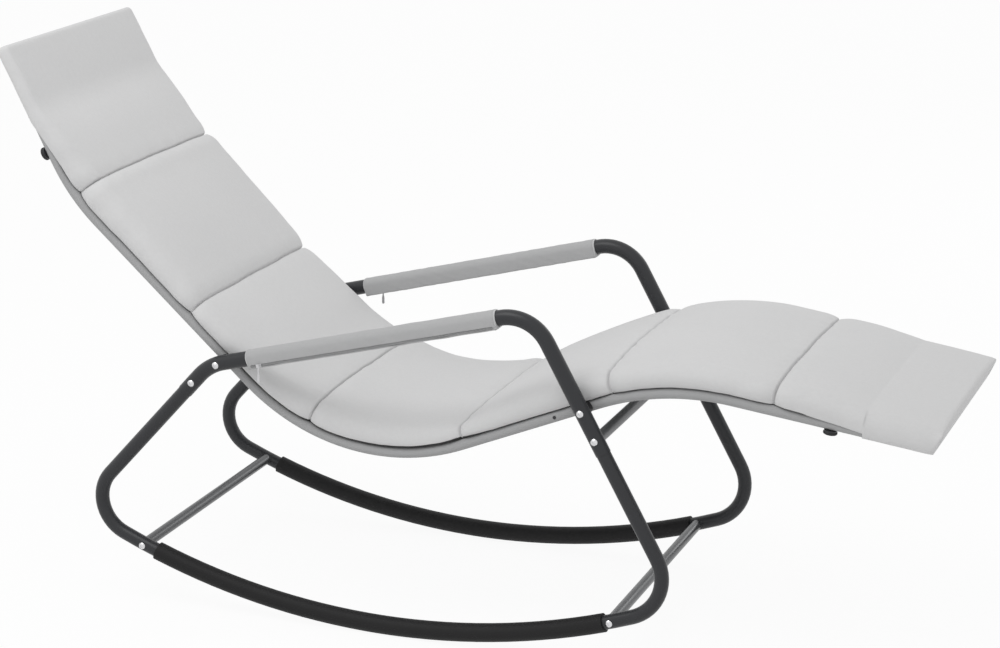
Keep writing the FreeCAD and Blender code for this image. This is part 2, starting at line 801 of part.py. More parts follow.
def panel_solid(panel, inset):
    """One padded panel of the cushion, or with an inset what lies inside it."""
    wires = []
    for step in range(panel_stations):
        share = (1 - math.cos(math.pi * step / (panel_stations - 1))) / 2
        distance = panel.start + (panel.end - panel.start) * share
        wires.append(panel_section(distance, panel.half_width(share), cushion_base, panel.top(share), inset))
    return Part.makeLoft(wires, True, False)


def panel_inside(panel, inset, margin):
    """The inside of a panel, ending a margin short of the panel's seams."""
    width = (-cushion_half_width, cushion_half_width)
    height = max(panel.heights) + panel.bulge
    between = box_along(seat_track.part(panel.start + margin, panel.end - margin), width, (0, height))
    return panel_solid(panel, inset).common(between)


def hood_form(start, end, outside):
    """The rounded form round the seat frame, so far outside the rails' pockets."""
    track = seat_track.part(start, end)
    half_height = pocket_radius + outside
    half_width = rail_half_span + half_height
    corner = half_height - hood_side_flat / 2
    outline = rounded_section(track, half_width, half_height, (corner, corner), 0, 0)
    return track.wire(0).makePipe(Part.Face(outline))


def cushion():
    """The cushion's cover, hooked over both ends of the seat frame, and the fillings of its panels."""
    panels = cushion_panels()
    foot = seat_track.length
    outer = cushion_clearance + hood_wall
    hoods = [hood_form(0, hood_head_length, outer), hood_form(foot - hood_foot_length, foot, outer)]
    cover = joined([panel_solid(panel, 0) for panel in panels] + hoods)
    cover = cover.cut(hood_form(hood_end_wall, hood_head_length, cushion_clearance))
    cover = cover.cut(hood_form(foot - hood_foot_length, foot - hood_end_wall, cushion_clearance))
    filled = panels[:-1]
    for panel in filled:
        cover = cover.cut(panel_inside(panel, cover_thickness, filling_seam_margin))
    inset = cover_thickness + filling_fit
    margin = filling_seam_margin + filling_fit
    return cover, Part.makeCompound([panel_inside(panel, inset, margin) for panel in filled])


# The armrest's straight run, walked from the front bend to the rear one, and the cover on it
arm_straight = loop.pieces[2]
cover_track = Track([arm_straight.part(cover_front_gap, arm_straight.length - cover_rear_gap)])
cover_length = cover_track.length
arm_heading = cover_track.pieces[0].direction


def cover_section(side_inset, face_inset, y_centre):
    """The cover's outline, drawn in by the insets, square to the armrest's front end."""
    # The walk runs rearwards, so the upward side of the armrest is against above().
    corners = (cover_top_corner - face_inset, cover_corner - face_inset)
    return rounded_section(cover_track, cover_width / 2 - side_inset, cover_height / 2 - face_inset,
                           corners, y_centre, cover_drop)


def arm_cover(sign):
    y = sign * side_y
    outer = cover_section(0, 0, y)
    inner = cover_section(cover_cloth, cover_cloth, y)
    cover = holed_face(outer, [inner]).extrude(arm_heading * cover_length)
    half_slot = zip_width / 2 + zip_slot_fit
    face = cover_width / 2
    slot = zip_box(sign, half_slot, face - 2 * cover_cloth, face + cover_cloth, 0, cover_length)
    return cover.cut(slot)


def zip_point(along, outwards, rise, sign):
    """A point on the zip's side of the armrest: along it, out from the middle, and above the zip."""
    start = cover_track.place(along)[0]
    return start + LEFT * (sign * (side_y + outwards)) + above(arm_heading) * (zip_drop - rise)


def zip_box(sign, half_height, inner, outer, first, last):
    corners = [zip_point(first, out, rise, sign) for out, rise in
               ((inner, -half_height), (outer, -half_height), (outer, half_height), (inner, half_height))]
    return Part.Face(Part.makePolygon(corners + corners[:1])).extrude(arm_heading * (last - first))


def arm_liner(sign):
    y = sign * side_y
    outer = cover_section(cover_cloth + liner_side_gap, cover_cloth + liner_gap, y)
    start = cover_track.place(0)[0] + LEFT * y
    bore = Part.Wire(Part.Circle(start, arm_heading, arm_radius + liner_tube_fit).toShape())
    return holed_face(outer, [bore]).extrude(arm_heading * cover_length)


def zip_chain(sign):
    """The closed teeth in the cover's slot and the tape behind them."""
    face = cover_width / 2
    first, last = zip_end_margin, cover_length - zip_end_margin
    tape_out = face - cover_cloth - zip_tape_gap
    tape_in = tape_out - zip_tape
    teeth = zip_box(sign, zip_width / 2, tape_in, face + zip_proud, first, last)
    low = -zip_width / 2
    corners = [zip_point(first, out, rise, sign) for out, rise in
               ((tape_in, low), (tape_out, low), (tape_out, zip_tape_rise), (tape_in, zip_tape_rise))]
    tape = Part.Face(Part.makePolygon(corners + corners[:1])).extrude(arm_heading * (last - first))
    return joined([teeth, tape])


slider_at = cover_length - slider_rest
slider_out = cover_width / 2 + zip_proud + slider_clearance
plate_out = slider_out + slider_plate
pull_in = plate_out + pull_play
stud_out = pull_in + pull_thickness + pull_play


def zip_slider(sign):
    first = slider_at - slider_length / 2
    last = slider_at + slider_length / 2
    half = zip_width / 2 + slider_clearance + slider_skirt
    body = zip_box(sign, half, cover_width / 2 + slider_clearance, plate_out, first, last)
    body = body.cut(zip_box(sign, half - slider_skirt, 0, slider_out, first, last))
    face_edges = [edge for edge in body.Edges if abs(abs(edge.CenterOfMass.y) - side_y - plate_out) < 1e-3]
    body = body.makeFillet(slider_plate / 3, face_edges)
    start = zip_point(slider_at, plate_out - slider_plate / 2, 0, sign)
    stud = rod(start, LEFT * sign, stud_od / 2, stud_out - plate_out + slider_plate / 2)
    head = rod(zip_point(slider_at, stud_out, 0, sign), LEFT * sign, stud_head_od / 2, stud_head_height)
    return joined([body, stud, head])


def zip_pull(sign):
    """The pull tab, hanging straight down from the slider's stud."""
    eye = zip_point(slider_at, pull_in, 0, sign)
    out = LEFT * sign
    ring = rod(eye, out, pull_eye_od / 2, pull_thickness)
    forward = Vector(1, 0, 0)

    def blade(width_top, width_bottom, top, bottom):
        high = eye - UP * top
        low = eye - UP * bottom
        corners = [high - forward * (width_top / 2), high + forward * (width_top / 2),
                   low + forward * (width_bottom / 2), low - forward * (width_bottom / 2)]
        return Part.Face(Part.makePolygon(corners + corners[:1])).extrude(out * pull_thickness)

    neck_end = pull_neck_length
    tip = pull_length - pull_tip_width / 2
    shapes = [ring, blade(pull_neck_width, pull_neck_width, 0, neck_end),
              blade(pull_neck_width, pull_tip_width, neck_end, neck_end + pull_tip_width),
              blade(pull_tip_width, pull_tip_width, neck_end + pull_tip_width, tip),
              rod(eye - UP * tip, out, pull_tip_width / 2, pull_thickness)]
    return joined(shapes).cut(rod(eye, out, stud_od / 2 + pull_fit, pull_thickness))


def build():
    """Every sub-part by name, in the chair's drawing position."""
    nodes = {}
    for side, sign in SIDES:
        nodes[side + "_arm_tube"] = arm_tube(sign)
        nodes[side + "_rocker_tube"] = rocker_tube(sign)
        nodes[side + "_rocker_sleeve"] = rocker_sleeve(sign)
        nodes[side + "_upper_rail"] = rail_half(sign, rail_start, rail_joint_at - rail_joint_gap / 2,
                                                [rear_bolt], [], spreader_spots[0])
        nodes[side + "_lower_rail"] = rail_half(sign, rail_joint_at + rail_joint_gap / 2, rail_end,
                                                [front_bolt], [rail_screw_spot], spreader_spots[1])
        nodes[side + "_arm_cover"] = arm_cover(sign)
        nodes[side + "_arm_liner"] = arm_liner(sign)
        nodes[side + "_zip_chain"] = zip_chain(sign)
        nodes[side + "_zip_slider"] = zip_slider(sign)
        nodes[side + "_zip_pull"] = zip_pull(sign)

    nodes["rear_cross_tube"] = cross_tube(rear_cross, rocker_track, rocker_radius_out)
    nodes["front_cross_tube"] = cross_tube(front_cross, rocker_track, rocker_radius_out)
    nodes["seat_cross_tube"] = cross_tube(front_joint, arm_track, arm_radius)
    nodes["head_end_tube"] = end_tube(rail_start)
    nodes["foot_end_tube"] = end_tube(rail_end)
    nodes["head_spreader"] = spreader(spreader_spots[0])
    nodes["foot_spreader"] = spreader(spreader_spots[1])

    crossings = ((rear_cross, rocker_radius_out), (front_cross, rocker_radius_out), (front_joint, arm_radius))
    signs = [sign for side, sign in SIDES]
    insert_reach = insert_setback + insert_length - screw_end_gap
    groups = {
        "cross_tube_inserts": [cross_inserts(point, radius, sign)
                               for point, radius in crossings for sign in signs],
        "cross_tube_screws": [side_screw(point, radius, sign, 2 * radius + insert_reach)
                              for point, radius in crossings for sign in signs],
        "rear_joint_screws": [side_screw(rear_joint, arm_radius, sign, arm_tube_od + nut_height)
                              for sign in signs],
        "rear_joint_nuts": [joint_nut(rear_joint, sign) for sign in signs],
        "seat_bolts": [seat_bolt(bolt, sign) for bolt in (front_bolt, rear_bolt) for sign in signs],
        "seat_nuts": [seat_nut(bolt, sign) for bolt in (front_bolt, rear_bolt) for sign in signs],
        "frame_saddles": [saddle(bolt, sign) for bolt in (front_bolt, rear_bolt) for sign in signs],
        "rail_joint_tubes": [rail_joint_tube(sign) for sign in signs],
        "rail_joint_screws": [rail_joint_screw(sign) for sign in signs],
        "end_tube_plugs": [end_plug(spot, sign) for spot in (rail_start, rail_end) for sign in signs],
        "knob_screws": [knob_screw(spot, sign) for spot in spreader_spots for sign in signs],
        "rail_inserts": [rail_insert(spot, sign) for spot in spreader_spots for sign in signs],
    }
    for name, solids in groups.items():
        nodes[name] = Part.makeCompound(solids)
    nodes["sling"] = sling()
    nodes["cushion_cover"], nodes["cushion_fillings"] = cushion()
    return nodes


def stand_on_floor(nodes):
    """Moves the chair so that the origin is on the floor, under the middle of its length."""
    boxes = [shape.optimalBoundingBox() for shape in nodes.values()]
    middle = (min(box.XMin for box in boxes) + max(box.XMax for box in boxes)) / 2
    for shape in nodes.values():
        shape.translate(Vector(-middle, 0, -floor_z))
    return middle


if __name__ == "__main__":
    os.makedirs("parts", exist_ok=True)
    nodes = build()
    middle = stand_on_floor(nodes)
    for name, shape in nodes.items():
        print(name, shape.isValid(), len(shape.Solids), round(shape.Volume))
        shape.exportStep("parts/" + name + ".step")
    pull = zip_point(slider_at, 0, 0, 1)
    print("contact x", round(-middle, 3), "floor z", floor_z)
    print("zip pull pivot", round(pull.x - middle, 3), round(pull.z - floor_z, 3))
    print("zip slide direction", round(-arm_heading.x, 5), round(-arm_heading.z, 5))
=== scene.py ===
"""The looks of a rocking chaise lounge.

The tubes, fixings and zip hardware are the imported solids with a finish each. The cushion, the hoods at its ends,
the sling, the armrest covers and the zips are cloth, and are made here. Everything is in metres in the row's frame:
+X towards the foot end, +Y to the sitter's left, +Z up, with the origin on the floor.
"""

from __future__ import annotations

import json
import logging
import math
from dataclasses import dataclass, replace
from enum import Enum
from functools import partial
from typing import Any, Sequence

import bpy
import numpy as np
from bpy.types import ID, Material, Node, NodeSocket, NodeTree, Object
from mathutils import Euler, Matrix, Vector

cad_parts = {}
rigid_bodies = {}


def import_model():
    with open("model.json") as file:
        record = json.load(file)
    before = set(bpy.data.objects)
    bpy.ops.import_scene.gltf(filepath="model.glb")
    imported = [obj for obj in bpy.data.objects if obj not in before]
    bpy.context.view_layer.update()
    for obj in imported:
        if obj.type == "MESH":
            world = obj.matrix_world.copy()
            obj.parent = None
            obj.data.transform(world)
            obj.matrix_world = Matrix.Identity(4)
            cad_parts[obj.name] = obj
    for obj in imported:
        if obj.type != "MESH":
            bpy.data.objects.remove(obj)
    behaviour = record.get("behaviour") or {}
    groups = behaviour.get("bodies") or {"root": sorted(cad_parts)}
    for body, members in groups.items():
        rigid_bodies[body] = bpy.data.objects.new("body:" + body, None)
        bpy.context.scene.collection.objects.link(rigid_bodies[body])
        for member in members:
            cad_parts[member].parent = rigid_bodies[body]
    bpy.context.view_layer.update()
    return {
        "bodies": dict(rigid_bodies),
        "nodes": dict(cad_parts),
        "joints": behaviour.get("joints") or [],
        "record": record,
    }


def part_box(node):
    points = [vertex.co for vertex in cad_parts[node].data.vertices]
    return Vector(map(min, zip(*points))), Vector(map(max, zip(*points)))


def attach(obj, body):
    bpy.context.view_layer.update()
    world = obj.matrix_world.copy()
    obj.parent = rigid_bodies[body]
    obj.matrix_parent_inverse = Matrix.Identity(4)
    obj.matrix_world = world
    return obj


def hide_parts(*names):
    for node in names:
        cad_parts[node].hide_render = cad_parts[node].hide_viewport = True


logging.basicConfig(level=logging.INFO, format="%(name)s: %(message)s")
log = logging.getLogger("lounge")

MM = 0.001
# From the drawing's (x, z) to the row's frame.
DRAWING_SHIFT = np.array((-0.103992, 0.0167))
CLOTH_MAP = "cloth"
WHITE = (1.0, 1.0, 1.0, 1.0)

Array = np.ndarray
Pair = tuple[float, float]
Triple = tuple[float, float, float]


class Side(Enum):
    """The two sides of the lounge, as the sign of their Y."""

    RIGHT = -1
    LEFT = 1

    @property
    def prefix(self) -> str:
        """The first word of the names of this side's pieces."""
        return self.name.lower()


class HoodEnd(Enum):
    """The two ends of the cushion."""

    HEAD = "head"
    FOOT = "foot"


class Cap(Enum):
    """How the first and last ring of a mesh are closed."""

    OPEN = "open"
    FAN = "fan"
    STRIP = "strip"

class Bead(Enum):
    """The shapes that a row is made of."""

    STITCH = "round"
    TOOTH = "block"


# Nodes


def feed(tree: NodeTree, socket: NodeSocket, value: Any) -> None:
    """Links a socket to another socket or a term, or else gives it a number or colour."""
    value = value.socket if isinstance(value, Term) else value
    if isinstance(value, NodeSocket):
        tree.links.new(value, socket)
    else:
        socket.default_value = value


def add_node(tree: NodeTree, kind: str, inputs: dict[Any, Any] | None = None, **settings: Any) -> Node:
    """Adds a node to a tree.

    Args:
        tree: the tree.
        kind: the node's type.
        inputs: its sockets by name or number, as numbers, colours, sockets or terms.
        settings: its properties, set before its sockets.

    Returns:
        The node.
    """
    node = tree.nodes.new(kind)
    for key, value in settings.items():
        setattr(node, key, value)
    for key, value in (inputs or {}).items():
        feed(tree, node.inputs[key], value)
    return node


class Term:
    """A shader socket that takes part in sums written as Python expressions."""

    def __init__(self, tree: NodeTree, socket: NodeSocket) -> None:
        """Wraps an output socket that holds one number."""
        self.tree = tree
        self.socket = socket

    def _math(self, operation: str, *values: Any) -> Term:
        """The result of a Math node on some terms or numbers."""
        node = add_node(self.tree, "ShaderNodeMath", dict(enumerate(values)), operation=operation)
        return Term(self.tree, node.outputs[0])

    def __add__(self, other: Any) -> Term:
        """self + other."""
        return self._math("ADD", self, other)

    def __mul__(self, other: Any) -> Term:
        """self * other."""
        return self._math("MULTIPLY", self, other)

    def sine(self) -> Term:
        """The sine of the term, in radians."""
        return self._math("SINE", self)

    def or_larger(self, other: Term) -> Term:
        """The larger of the two terms."""
        return self._math("MAXIMUM", self, other)

    def held(self) -> Term:
        """The term kept between 0 and 1."""
        return Term(self.tree, add_node(self.tree, "ShaderNodeClamp", {"Value": self}).outputs[0])


def shown(tree: NodeTree) -> Term:
    """1 where the camera looks, also in a reflection or through glass, and 0 for the light on the object."""
    rays = add_node(tree, "ShaderNodeLightPath").outputs
    kinds = ("Is Camera Ray", "Is Glossy Ray", "Is Transmission Ray")
    camera, glossy, passing = (Term(tree, rays[kind]) for kind in kinds)
    return camera.or_larger(glossy).or_larger(passing)


# Finishes


def scaled(colour: Sequence[float], factor: float) -> tuple[float, ...]:
    """A colour made darker or lighter."""
    return tuple(channel * factor for channel in colour)


class Shader:
    """One material's nodes, around a Principled shader."""

    def __init__(self, name: str) -> None:
        """Makes a plain material of this name."""
        self.material = bpy.data.materials.new(name)
        self.material.use_nodes = True
        self.tree = self.material.node_tree
        self.tree.nodes.clear()
        self.add = partial(add_node, self.tree)
        self.surface = self.add("ShaderNodeBsdfPrincipled")
        self.output = self.add("ShaderNodeOutputMaterial", {"Surface": self.surface.outputs[0]})

    def dress(self, **values: Any) -> Material:
        """Feeds the Principled shader's sockets.

        Args:
            values: terms, sockets or numbers by socket, with underscores for the spaces in the sockets' names.

        Returns:
            The material.
        """
        for key, value in values.items():
            feed(self.tree, self.surface.inputs[key.replace("_", " ")], value)
        return self.material

    def object_place(self) -> NodeSocket:
        """The place on the piece, in metres."""
        return self.add("ShaderNodeTexCoord").outputs["Object"]

    def cloth_place(self) -> tuple[NodeSocket, Term, Term]:
        """The place on the cloth: the map's vector, the way along and the way across, in metres."""
        mapped = self.add("ShaderNodeUVMap", uv_map=CLOTH_MAP).outputs[0]
        split = self.add("ShaderNodeSeparateXYZ", {0: mapped})
        return mapped, Term(self.tree, split.outputs[0]), Term(self.tree, split.outputs[1])

    def noise(self, place: NodeSocket, scale: float, detail: float) -> Term:
        """Smooth noise between 0 and 1.

        Args:
            place: the coordinates that it follows.
            scale: features per metre.
            detail: how many finer layers it has.

        Returns:
            The noise.
        """
        inputs = {"Vector": place, "Scale": scale, "Detail": detail}
        return Term(self.tree, self.add("ShaderNodeTexNoise", inputs).outputs[0])

    def shades(self, factor: Term, colour: Sequence[float], low: float, high: float) -> NodeSocket:
        """A colour that varies from darker to lighter.

        Args:
            factor: 0 where it is darkest and 1 where it is lightest.
            colour: the colour.
            low: the darkest shade's share of it.
            high: the lightest shade's share of it.

        Returns:
            The colour's socket.
        """
        inputs = {0: factor, 6: (*scaled(colour, low), 1.0), 7: (*scaled(colour, high), 1.0)}
        return self.add("ShaderNodeMix", inputs, data_type="RGBA").outputs[2]

    def bump(self, height: Term, strength: float, distance: float) -> NodeSocket:
        """The normals of a surface that a height raises."""
        inputs = {"Height": height, "Strength": strength, "Distance": distance}
        return self.add("ShaderNodeBump", inputs).outputs[0]


@dataclass(frozen=True)
class Skin:
    """How a hard material varies over its surface, with each noise as features per metre and finer layers."""

    tone: Pair
    grain: Pair
    shades: Pair
    gloss_by_tone: float
    gloss_by_grain: float
    relief: float
    relief_depth: float = 0.3 * MM


POWDER_COAT = Skin((7.0, 3.0), (900.0, 1.0), (0.92, 1.08), 0.08, 0.05, 0.10)
PLATING = Skin((350.0, 3.0), (2500.0, 1.0), (0.88, 1.08), 0.16, 0.0, 0.05, 0.2 * MM)
MOULDING = Skin((16.0, 4.0), (1400.0, 2.0), (0.85, 1.25), 0.12, 0.0, 0.25)
SMOOTH_MOULDING = replace(MOULDING, grain=(2200.0, 2.0), relief=0.12)
FINE_MOULDING = replace(MOULDING, grain=(3000.0, 2.0), relief=0.08)


@dataclass(frozen=True)
class HardFinish:
    """Powder coat, plated steel, or moulded rubber or plastic."""

    name: str
    colour: Triple
    roughness: float
    skin: Skin
    metallic: float = 0.0
    specular: float = 0.3

    def material(self) -> Material:
        """Builds the material."""
        shader, skin = Shader(self.name), self.skin
        place = shader.object_place()
        tone, grain = shader.noise(place, *skin.tone), shader.noise(place, *skin.grain)
        mean = (skin.gloss_by_tone + skin.gloss_by_grain) / 2
        roughness = tone * skin.gloss_by_tone + grain * skin.gloss_by_grain + (self.roughness - mean)
        return shader.dress(Base_Color=shader.shades(tone, self.colour, *skin.shades), Roughness=roughness,
                            Metallic=self.metallic, Specular_IOR_Level=self.specular,
                            Normal=shader.bump(grain, skin.relief, skin.relief_depth))


@dataclass(frozen=True)
class ClothFinish:
    """Plain-woven cloth: over-and-under threads with slubs and a soft, uneven tone."""

    name: str
    colour: Triple
    pitch: float = 0.9 * MM
    weave_depth: float = 0.3
    contrast: float = 0.10
    roughness: float = 0.82
    sheen: float = 0.15
    slub_scale: float = 120.0
    tone_scale: float = 6.0
    shares: Triple = (0.45, 0.35, 0.2)

    def material(self) -> Material:
        """Builds the material."""
        shader = Shader(self.name)
        mapped, along, across = shader.cloth_place()
        turn = 2 * math.pi / self.pitch
        thread = (along * turn).sine() * (across * turn).sine() * 0.5 + 0.5
        slub = shader.noise(mapped, self.slub_scale, 4.0)
        tone = shader.noise(mapped, self.tone_scale, 2.0)
        by_thread, by_slub, by_tone = self.shares
        mixed = (thread * by_thread + slub * by_slub + tone * by_tone).held()
        return shader.dress(Base_Color=shader.shades(mixed, self.colour, 1 - self.contrast, 1 + self.contrast),
                            Roughness=slub * 0.1 + (self.roughness - 0.05), Sheen_Weight=self.sheen,
                            Sheen_Roughness=0.5, Specular_IOR_Level=0.25,
                            Normal=shader.bump(thread * 0.7 + slub * 0.3, self.weave_depth, 0.4 * MM))


@dataclass(frozen=True)
class FoamFinish:
    """Open-cell foam."""

    name: str
    colour: Triple
    cells: float = 900.0

    def material(self) -> Material:
        """Builds the material."""
        shader = Shader(self.name)
        cells = shader.add("ShaderNodeTexVoronoi", {"Vector": shader.object_place(), "Scale": self.cells})
        depth = Term(shader.tree, cells.outputs[0])
        return shader.dress(Base_Color=shader.shades(depth.held(), self.colour, 0.6, 1.2), Roughness=0.95,
                            Specular_IOR_Level=0.2, Normal=shader.bump(depth, 0.4, 0.4 * MM))


class Finishes:
    """Every finish of the lounge, built once."""

    def __init__(self) -> None:
        """Builds the materials."""
        metal, shine = 1.0, 0.5
        self.tube = HardFinish("anthracite_tube", (0.030, 0.031, 0.034), 0.34, POWDER_COAT).material()
        self.cross_tube = HardFinish("grey_cross_tube", (0.10, 0.103, 0.107), 0.3, POWDER_COAT, 0.35, 0.4).material()
        self.zinc = HardFinish("zinc_screw", (0.72, 0.72, 0.73), 0.28, PLATING, metal, shine).material()
        self.dark_screw = HardFinish("black_screw", (0.06, 0.06, 0.062), 0.4, PLATING, metal, shine).material()
        self.zip_metal = HardFinish("zip_metal", (0.6, 0.6, 0.61), 0.32, PLATING, metal, shine).material()
        self.rubber = HardFinish("rocker_rubber", (0.008, 0.0078, 0.0082), 0.62, MOULDING).material()
        self.plastic = HardFinish("black_plastic", (0.02, 0.02, 0.021), 0.45, SMOOTH_MOULDING).material()
        self.cushion = ClothFinish("cushion_cloth", (0.635, 0.635, 0.637)).material()
        # The dark base cloth: partly the cushion's dark underside, partly painted shadow, since its band up the lower
        # side stands in for the shadow gap above the rails.
        self.base = ClothFinish("cushion_base_and_shadow_cloth", (0.022, 0.022, 0.023), 1.2 * MM, 0.4, 0.2).material()
        self.sling = ClothFinish("sling_cloth", (0.37, 0.372, 0.375), 1.3 * MM, 0.4, 0.12, 0.75).material()
        self.arm = ClothFinish("arm_cloth", (0.42, 0.422, 0.425), 1.0 * MM, 0.3, 0.10).material()
        self.binding = ClothFinish("arm_binding", (0.56, 0.562, 0.565), 0.8 * MM, 0.3, 0.08).material()
        self.thread = ClothFinish("sewing_thread", (0.45, 0.45, 0.455), 0.4 * MM, 0.3, 0.1).material()
        self.zip_cloth = ClothFinish("zip_tape", (0.27, 0.272, 0.275), 0.7 * MM, 0.3, 0.1).material()
        self.zip_teeth = HardFinish("zip_teeth", (0.34, 0.342, 0.345), 0.45, FINE_MOULDING).material()
        self.foam = FoamFinish("liner_foam", (0.05, 0.05, 0.052)).material()


# Shapes


class SeatPath:
    """The S-shaped centreline of the seat rails, measured along its length."""

    CORNERS = ((-770.4, 1010.9), (-640.5, 748.0), (-104.1, 255.9), (502.0, 505.5), (985.5, 443.4))
    BENDS = (373.0, 396.0, 474.0)

    def __init__(self) -> None:
        """Works out the straights and bends."""
        corners = np.array(self.CORNERS) * MM + DRAWING_SHIFT
        self.runs: list[tuple[float, Array, float, float]] = []
        here = corners[0]
        for before, corner, after, radius in zip(corners, corners[1:], corners[2:], self.BENDS):
            radius = radius * MM
            arriving = (corner - before) / np.linalg.norm(corner - before)
            leaving = (after - corner) / np.linalg.norm(after - corner)
            turn = math.atan2(arriving[0] * leaving[1] - arriving[1] * leaving[0], float(arriving @ leaving))
            reach = radius * math.tan(abs(turn) / 2)
            heading = math.atan2(arriving[1], arriving[0])
            start = corner - arriving * reach
            self.runs.append((float(np.linalg.norm(start - here)), here, heading, 0.0))
            self.runs.append((radius * abs(turn), start, heading, math.copysign(1 / radius, turn)))
            here = corner + leaving * reach
        last = corners[-1] - here
        self.runs.append((float(np.linalg.norm(last)), here, math.atan2(last[1], last[0]), 0.0))
        self.length = sum(run[0] for run in self.runs)

    def locate(self, along: Array) -> tuple[Array, Array]:
        """The places on the path and the directions square to it.

        Args:
            along: distances from the head end.

        Returns:
            The points and the unit vectors away from the rails' lower side, as (x, z) rows.
        """
        points = np.zeros((len(along), 2))
        ups = np.zeros((len(along), 2))
        passed = 0.0
        for index, (length, start, heading, curve) in enumerate(self.runs):
            last = index == len(self.runs) - 1
            here = (along >= passed) & ((along <= passed + length) | last)
            if index == 0:
                here |= along < 0
            gone = along[here] - passed
            angle = heading + curve * gone
            if curve:
                offset = np.stack([np.sin(angle) - math.sin(heading), math.cos(heading) - np.cos(angle)], 1) / curve
            else:
                offset = gone[:, None] * np.array([math.cos(heading), math.sin(heading)])
            points[here] = start + offset
            ups[here] = np.stack([-np.sin(angle), np.cos(angle)], 1)
            passed += length
        return points, ups

    def directions(self, along: Array) -> Array:
        """The unit vectors along the path, as (x, z) rows."""
        ups = self.locate(along)[1]
        return np.stack([ups[:, 1], -ups[:, 0]], 1)

    def place(self, along: Array, across: Array, height: Array) -> Array:
        """Points in space for a grid of stations.

        Args:
            along: one distance for each station.
            across: their Y, as a row for each station or one row for all.
            height: their heights square to the path, in such rows too.

        Returns:
            An array of points, stations by ring points by three.
        """
        points, ups = self.locate(along)
        x, z = (points[:, None, axis] + ups[:, None, axis] * height for axis in (0, 1))
        return np.stack([x, np.broadcast_to(across, x.shape), z], 2)


def cubic_resample(values: Array, old: Array, new: Array) -> Array:
    """Smooth values between stations.

    Args:
        values: one row for each old station.
        old: the stations' places, rising.
        new: the places wanted, inside the old ones.

    Returns:
        One row for each new place.
    """
    slopes = np.gradient(values, old, axis=0)
    index = np.clip(np.searchsorted(old, new, side="right") - 1, 0, len(old) - 2)
    span = (old[index + 1] - old[index])[:, None, None]
    t = ((new - old[index])[:, None, None]) / span
    start, end = values[index], values[index + 1]
    rise, fall = slopes[index] * span, slopes[index + 1] * span
    return ((2 * t**3 - 3 * t**2 + 1) * start + (t**3 - 2 * t**2 + t) * rise
            + (3 * t**2 - 2 * t**3) * end + (t**3 - t**2) * fall)


def ripple(seed: int, place: Array, shortest: float, longest: float, count: int = 6) -> Array:
    """A sum of sine waves of random lengths, between about -1 and 1.

    Args:
        seed: fixes the waves.
        place: where it is read, in metres.
        shortest: the shortest wave.
        longest: the longest wave.
        count: how many waves.

    Returns:
        The sum at each place.
    """
    rng = np.random.default_rng(seed)
    total = np.zeros_like(place, dtype=float)
    for _ in range(count):
        wave = math.exp(rng.uniform(math.log(shortest), math.log(longest)))
        total += np.sin(place * 2 * math.pi / wave + rng.uniform(0, 2 * math.pi))
    return total / math.sqrt(count)

def columns(outline: Array) -> tuple[Array, Array]:
    """An outline's two coordinates, each as one row that serves every station."""
    return outline[None, :, 0], outline[None, :, 1]


def length_of(line: Array) -> float:
    """A line's length, with one row for each of its points."""
    return float(np.linalg.norm(np.diff(line, axis=0), axis=1).sum())


def thickened(line: Array, thickness: float) -> Array:
    """The outline of a sheet's section.

    Args:
        line: the section's middle line, as rows of two.
        thickness: the sheet's thickness.

    Returns:
        The outline: along one side and back along the other.
    """
    tangent = np.gradient(line, axis=0)
    tangent /= np.linalg.norm(tangent, axis=1)[:, None]
    normal = np.stack([-tangent[:, 1], tangent[:, 0]], 1) * thickness / 2
    return np.vstack([line - normal, (line + normal)[::-1]])


def put(name: str, data: ID) -> Object:
    """Makes an object from a mesh, curve, lamp or camera and links it to the scene."""
    made = bpy.data.objects.new(name, data)
    bpy.context.scene.collection.objects.link(made)
    return made


def enter(made: Object, slot: str, *replaced: str) -> None:
    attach(made, "lounge")
    if replaced:
        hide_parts(*replaced)


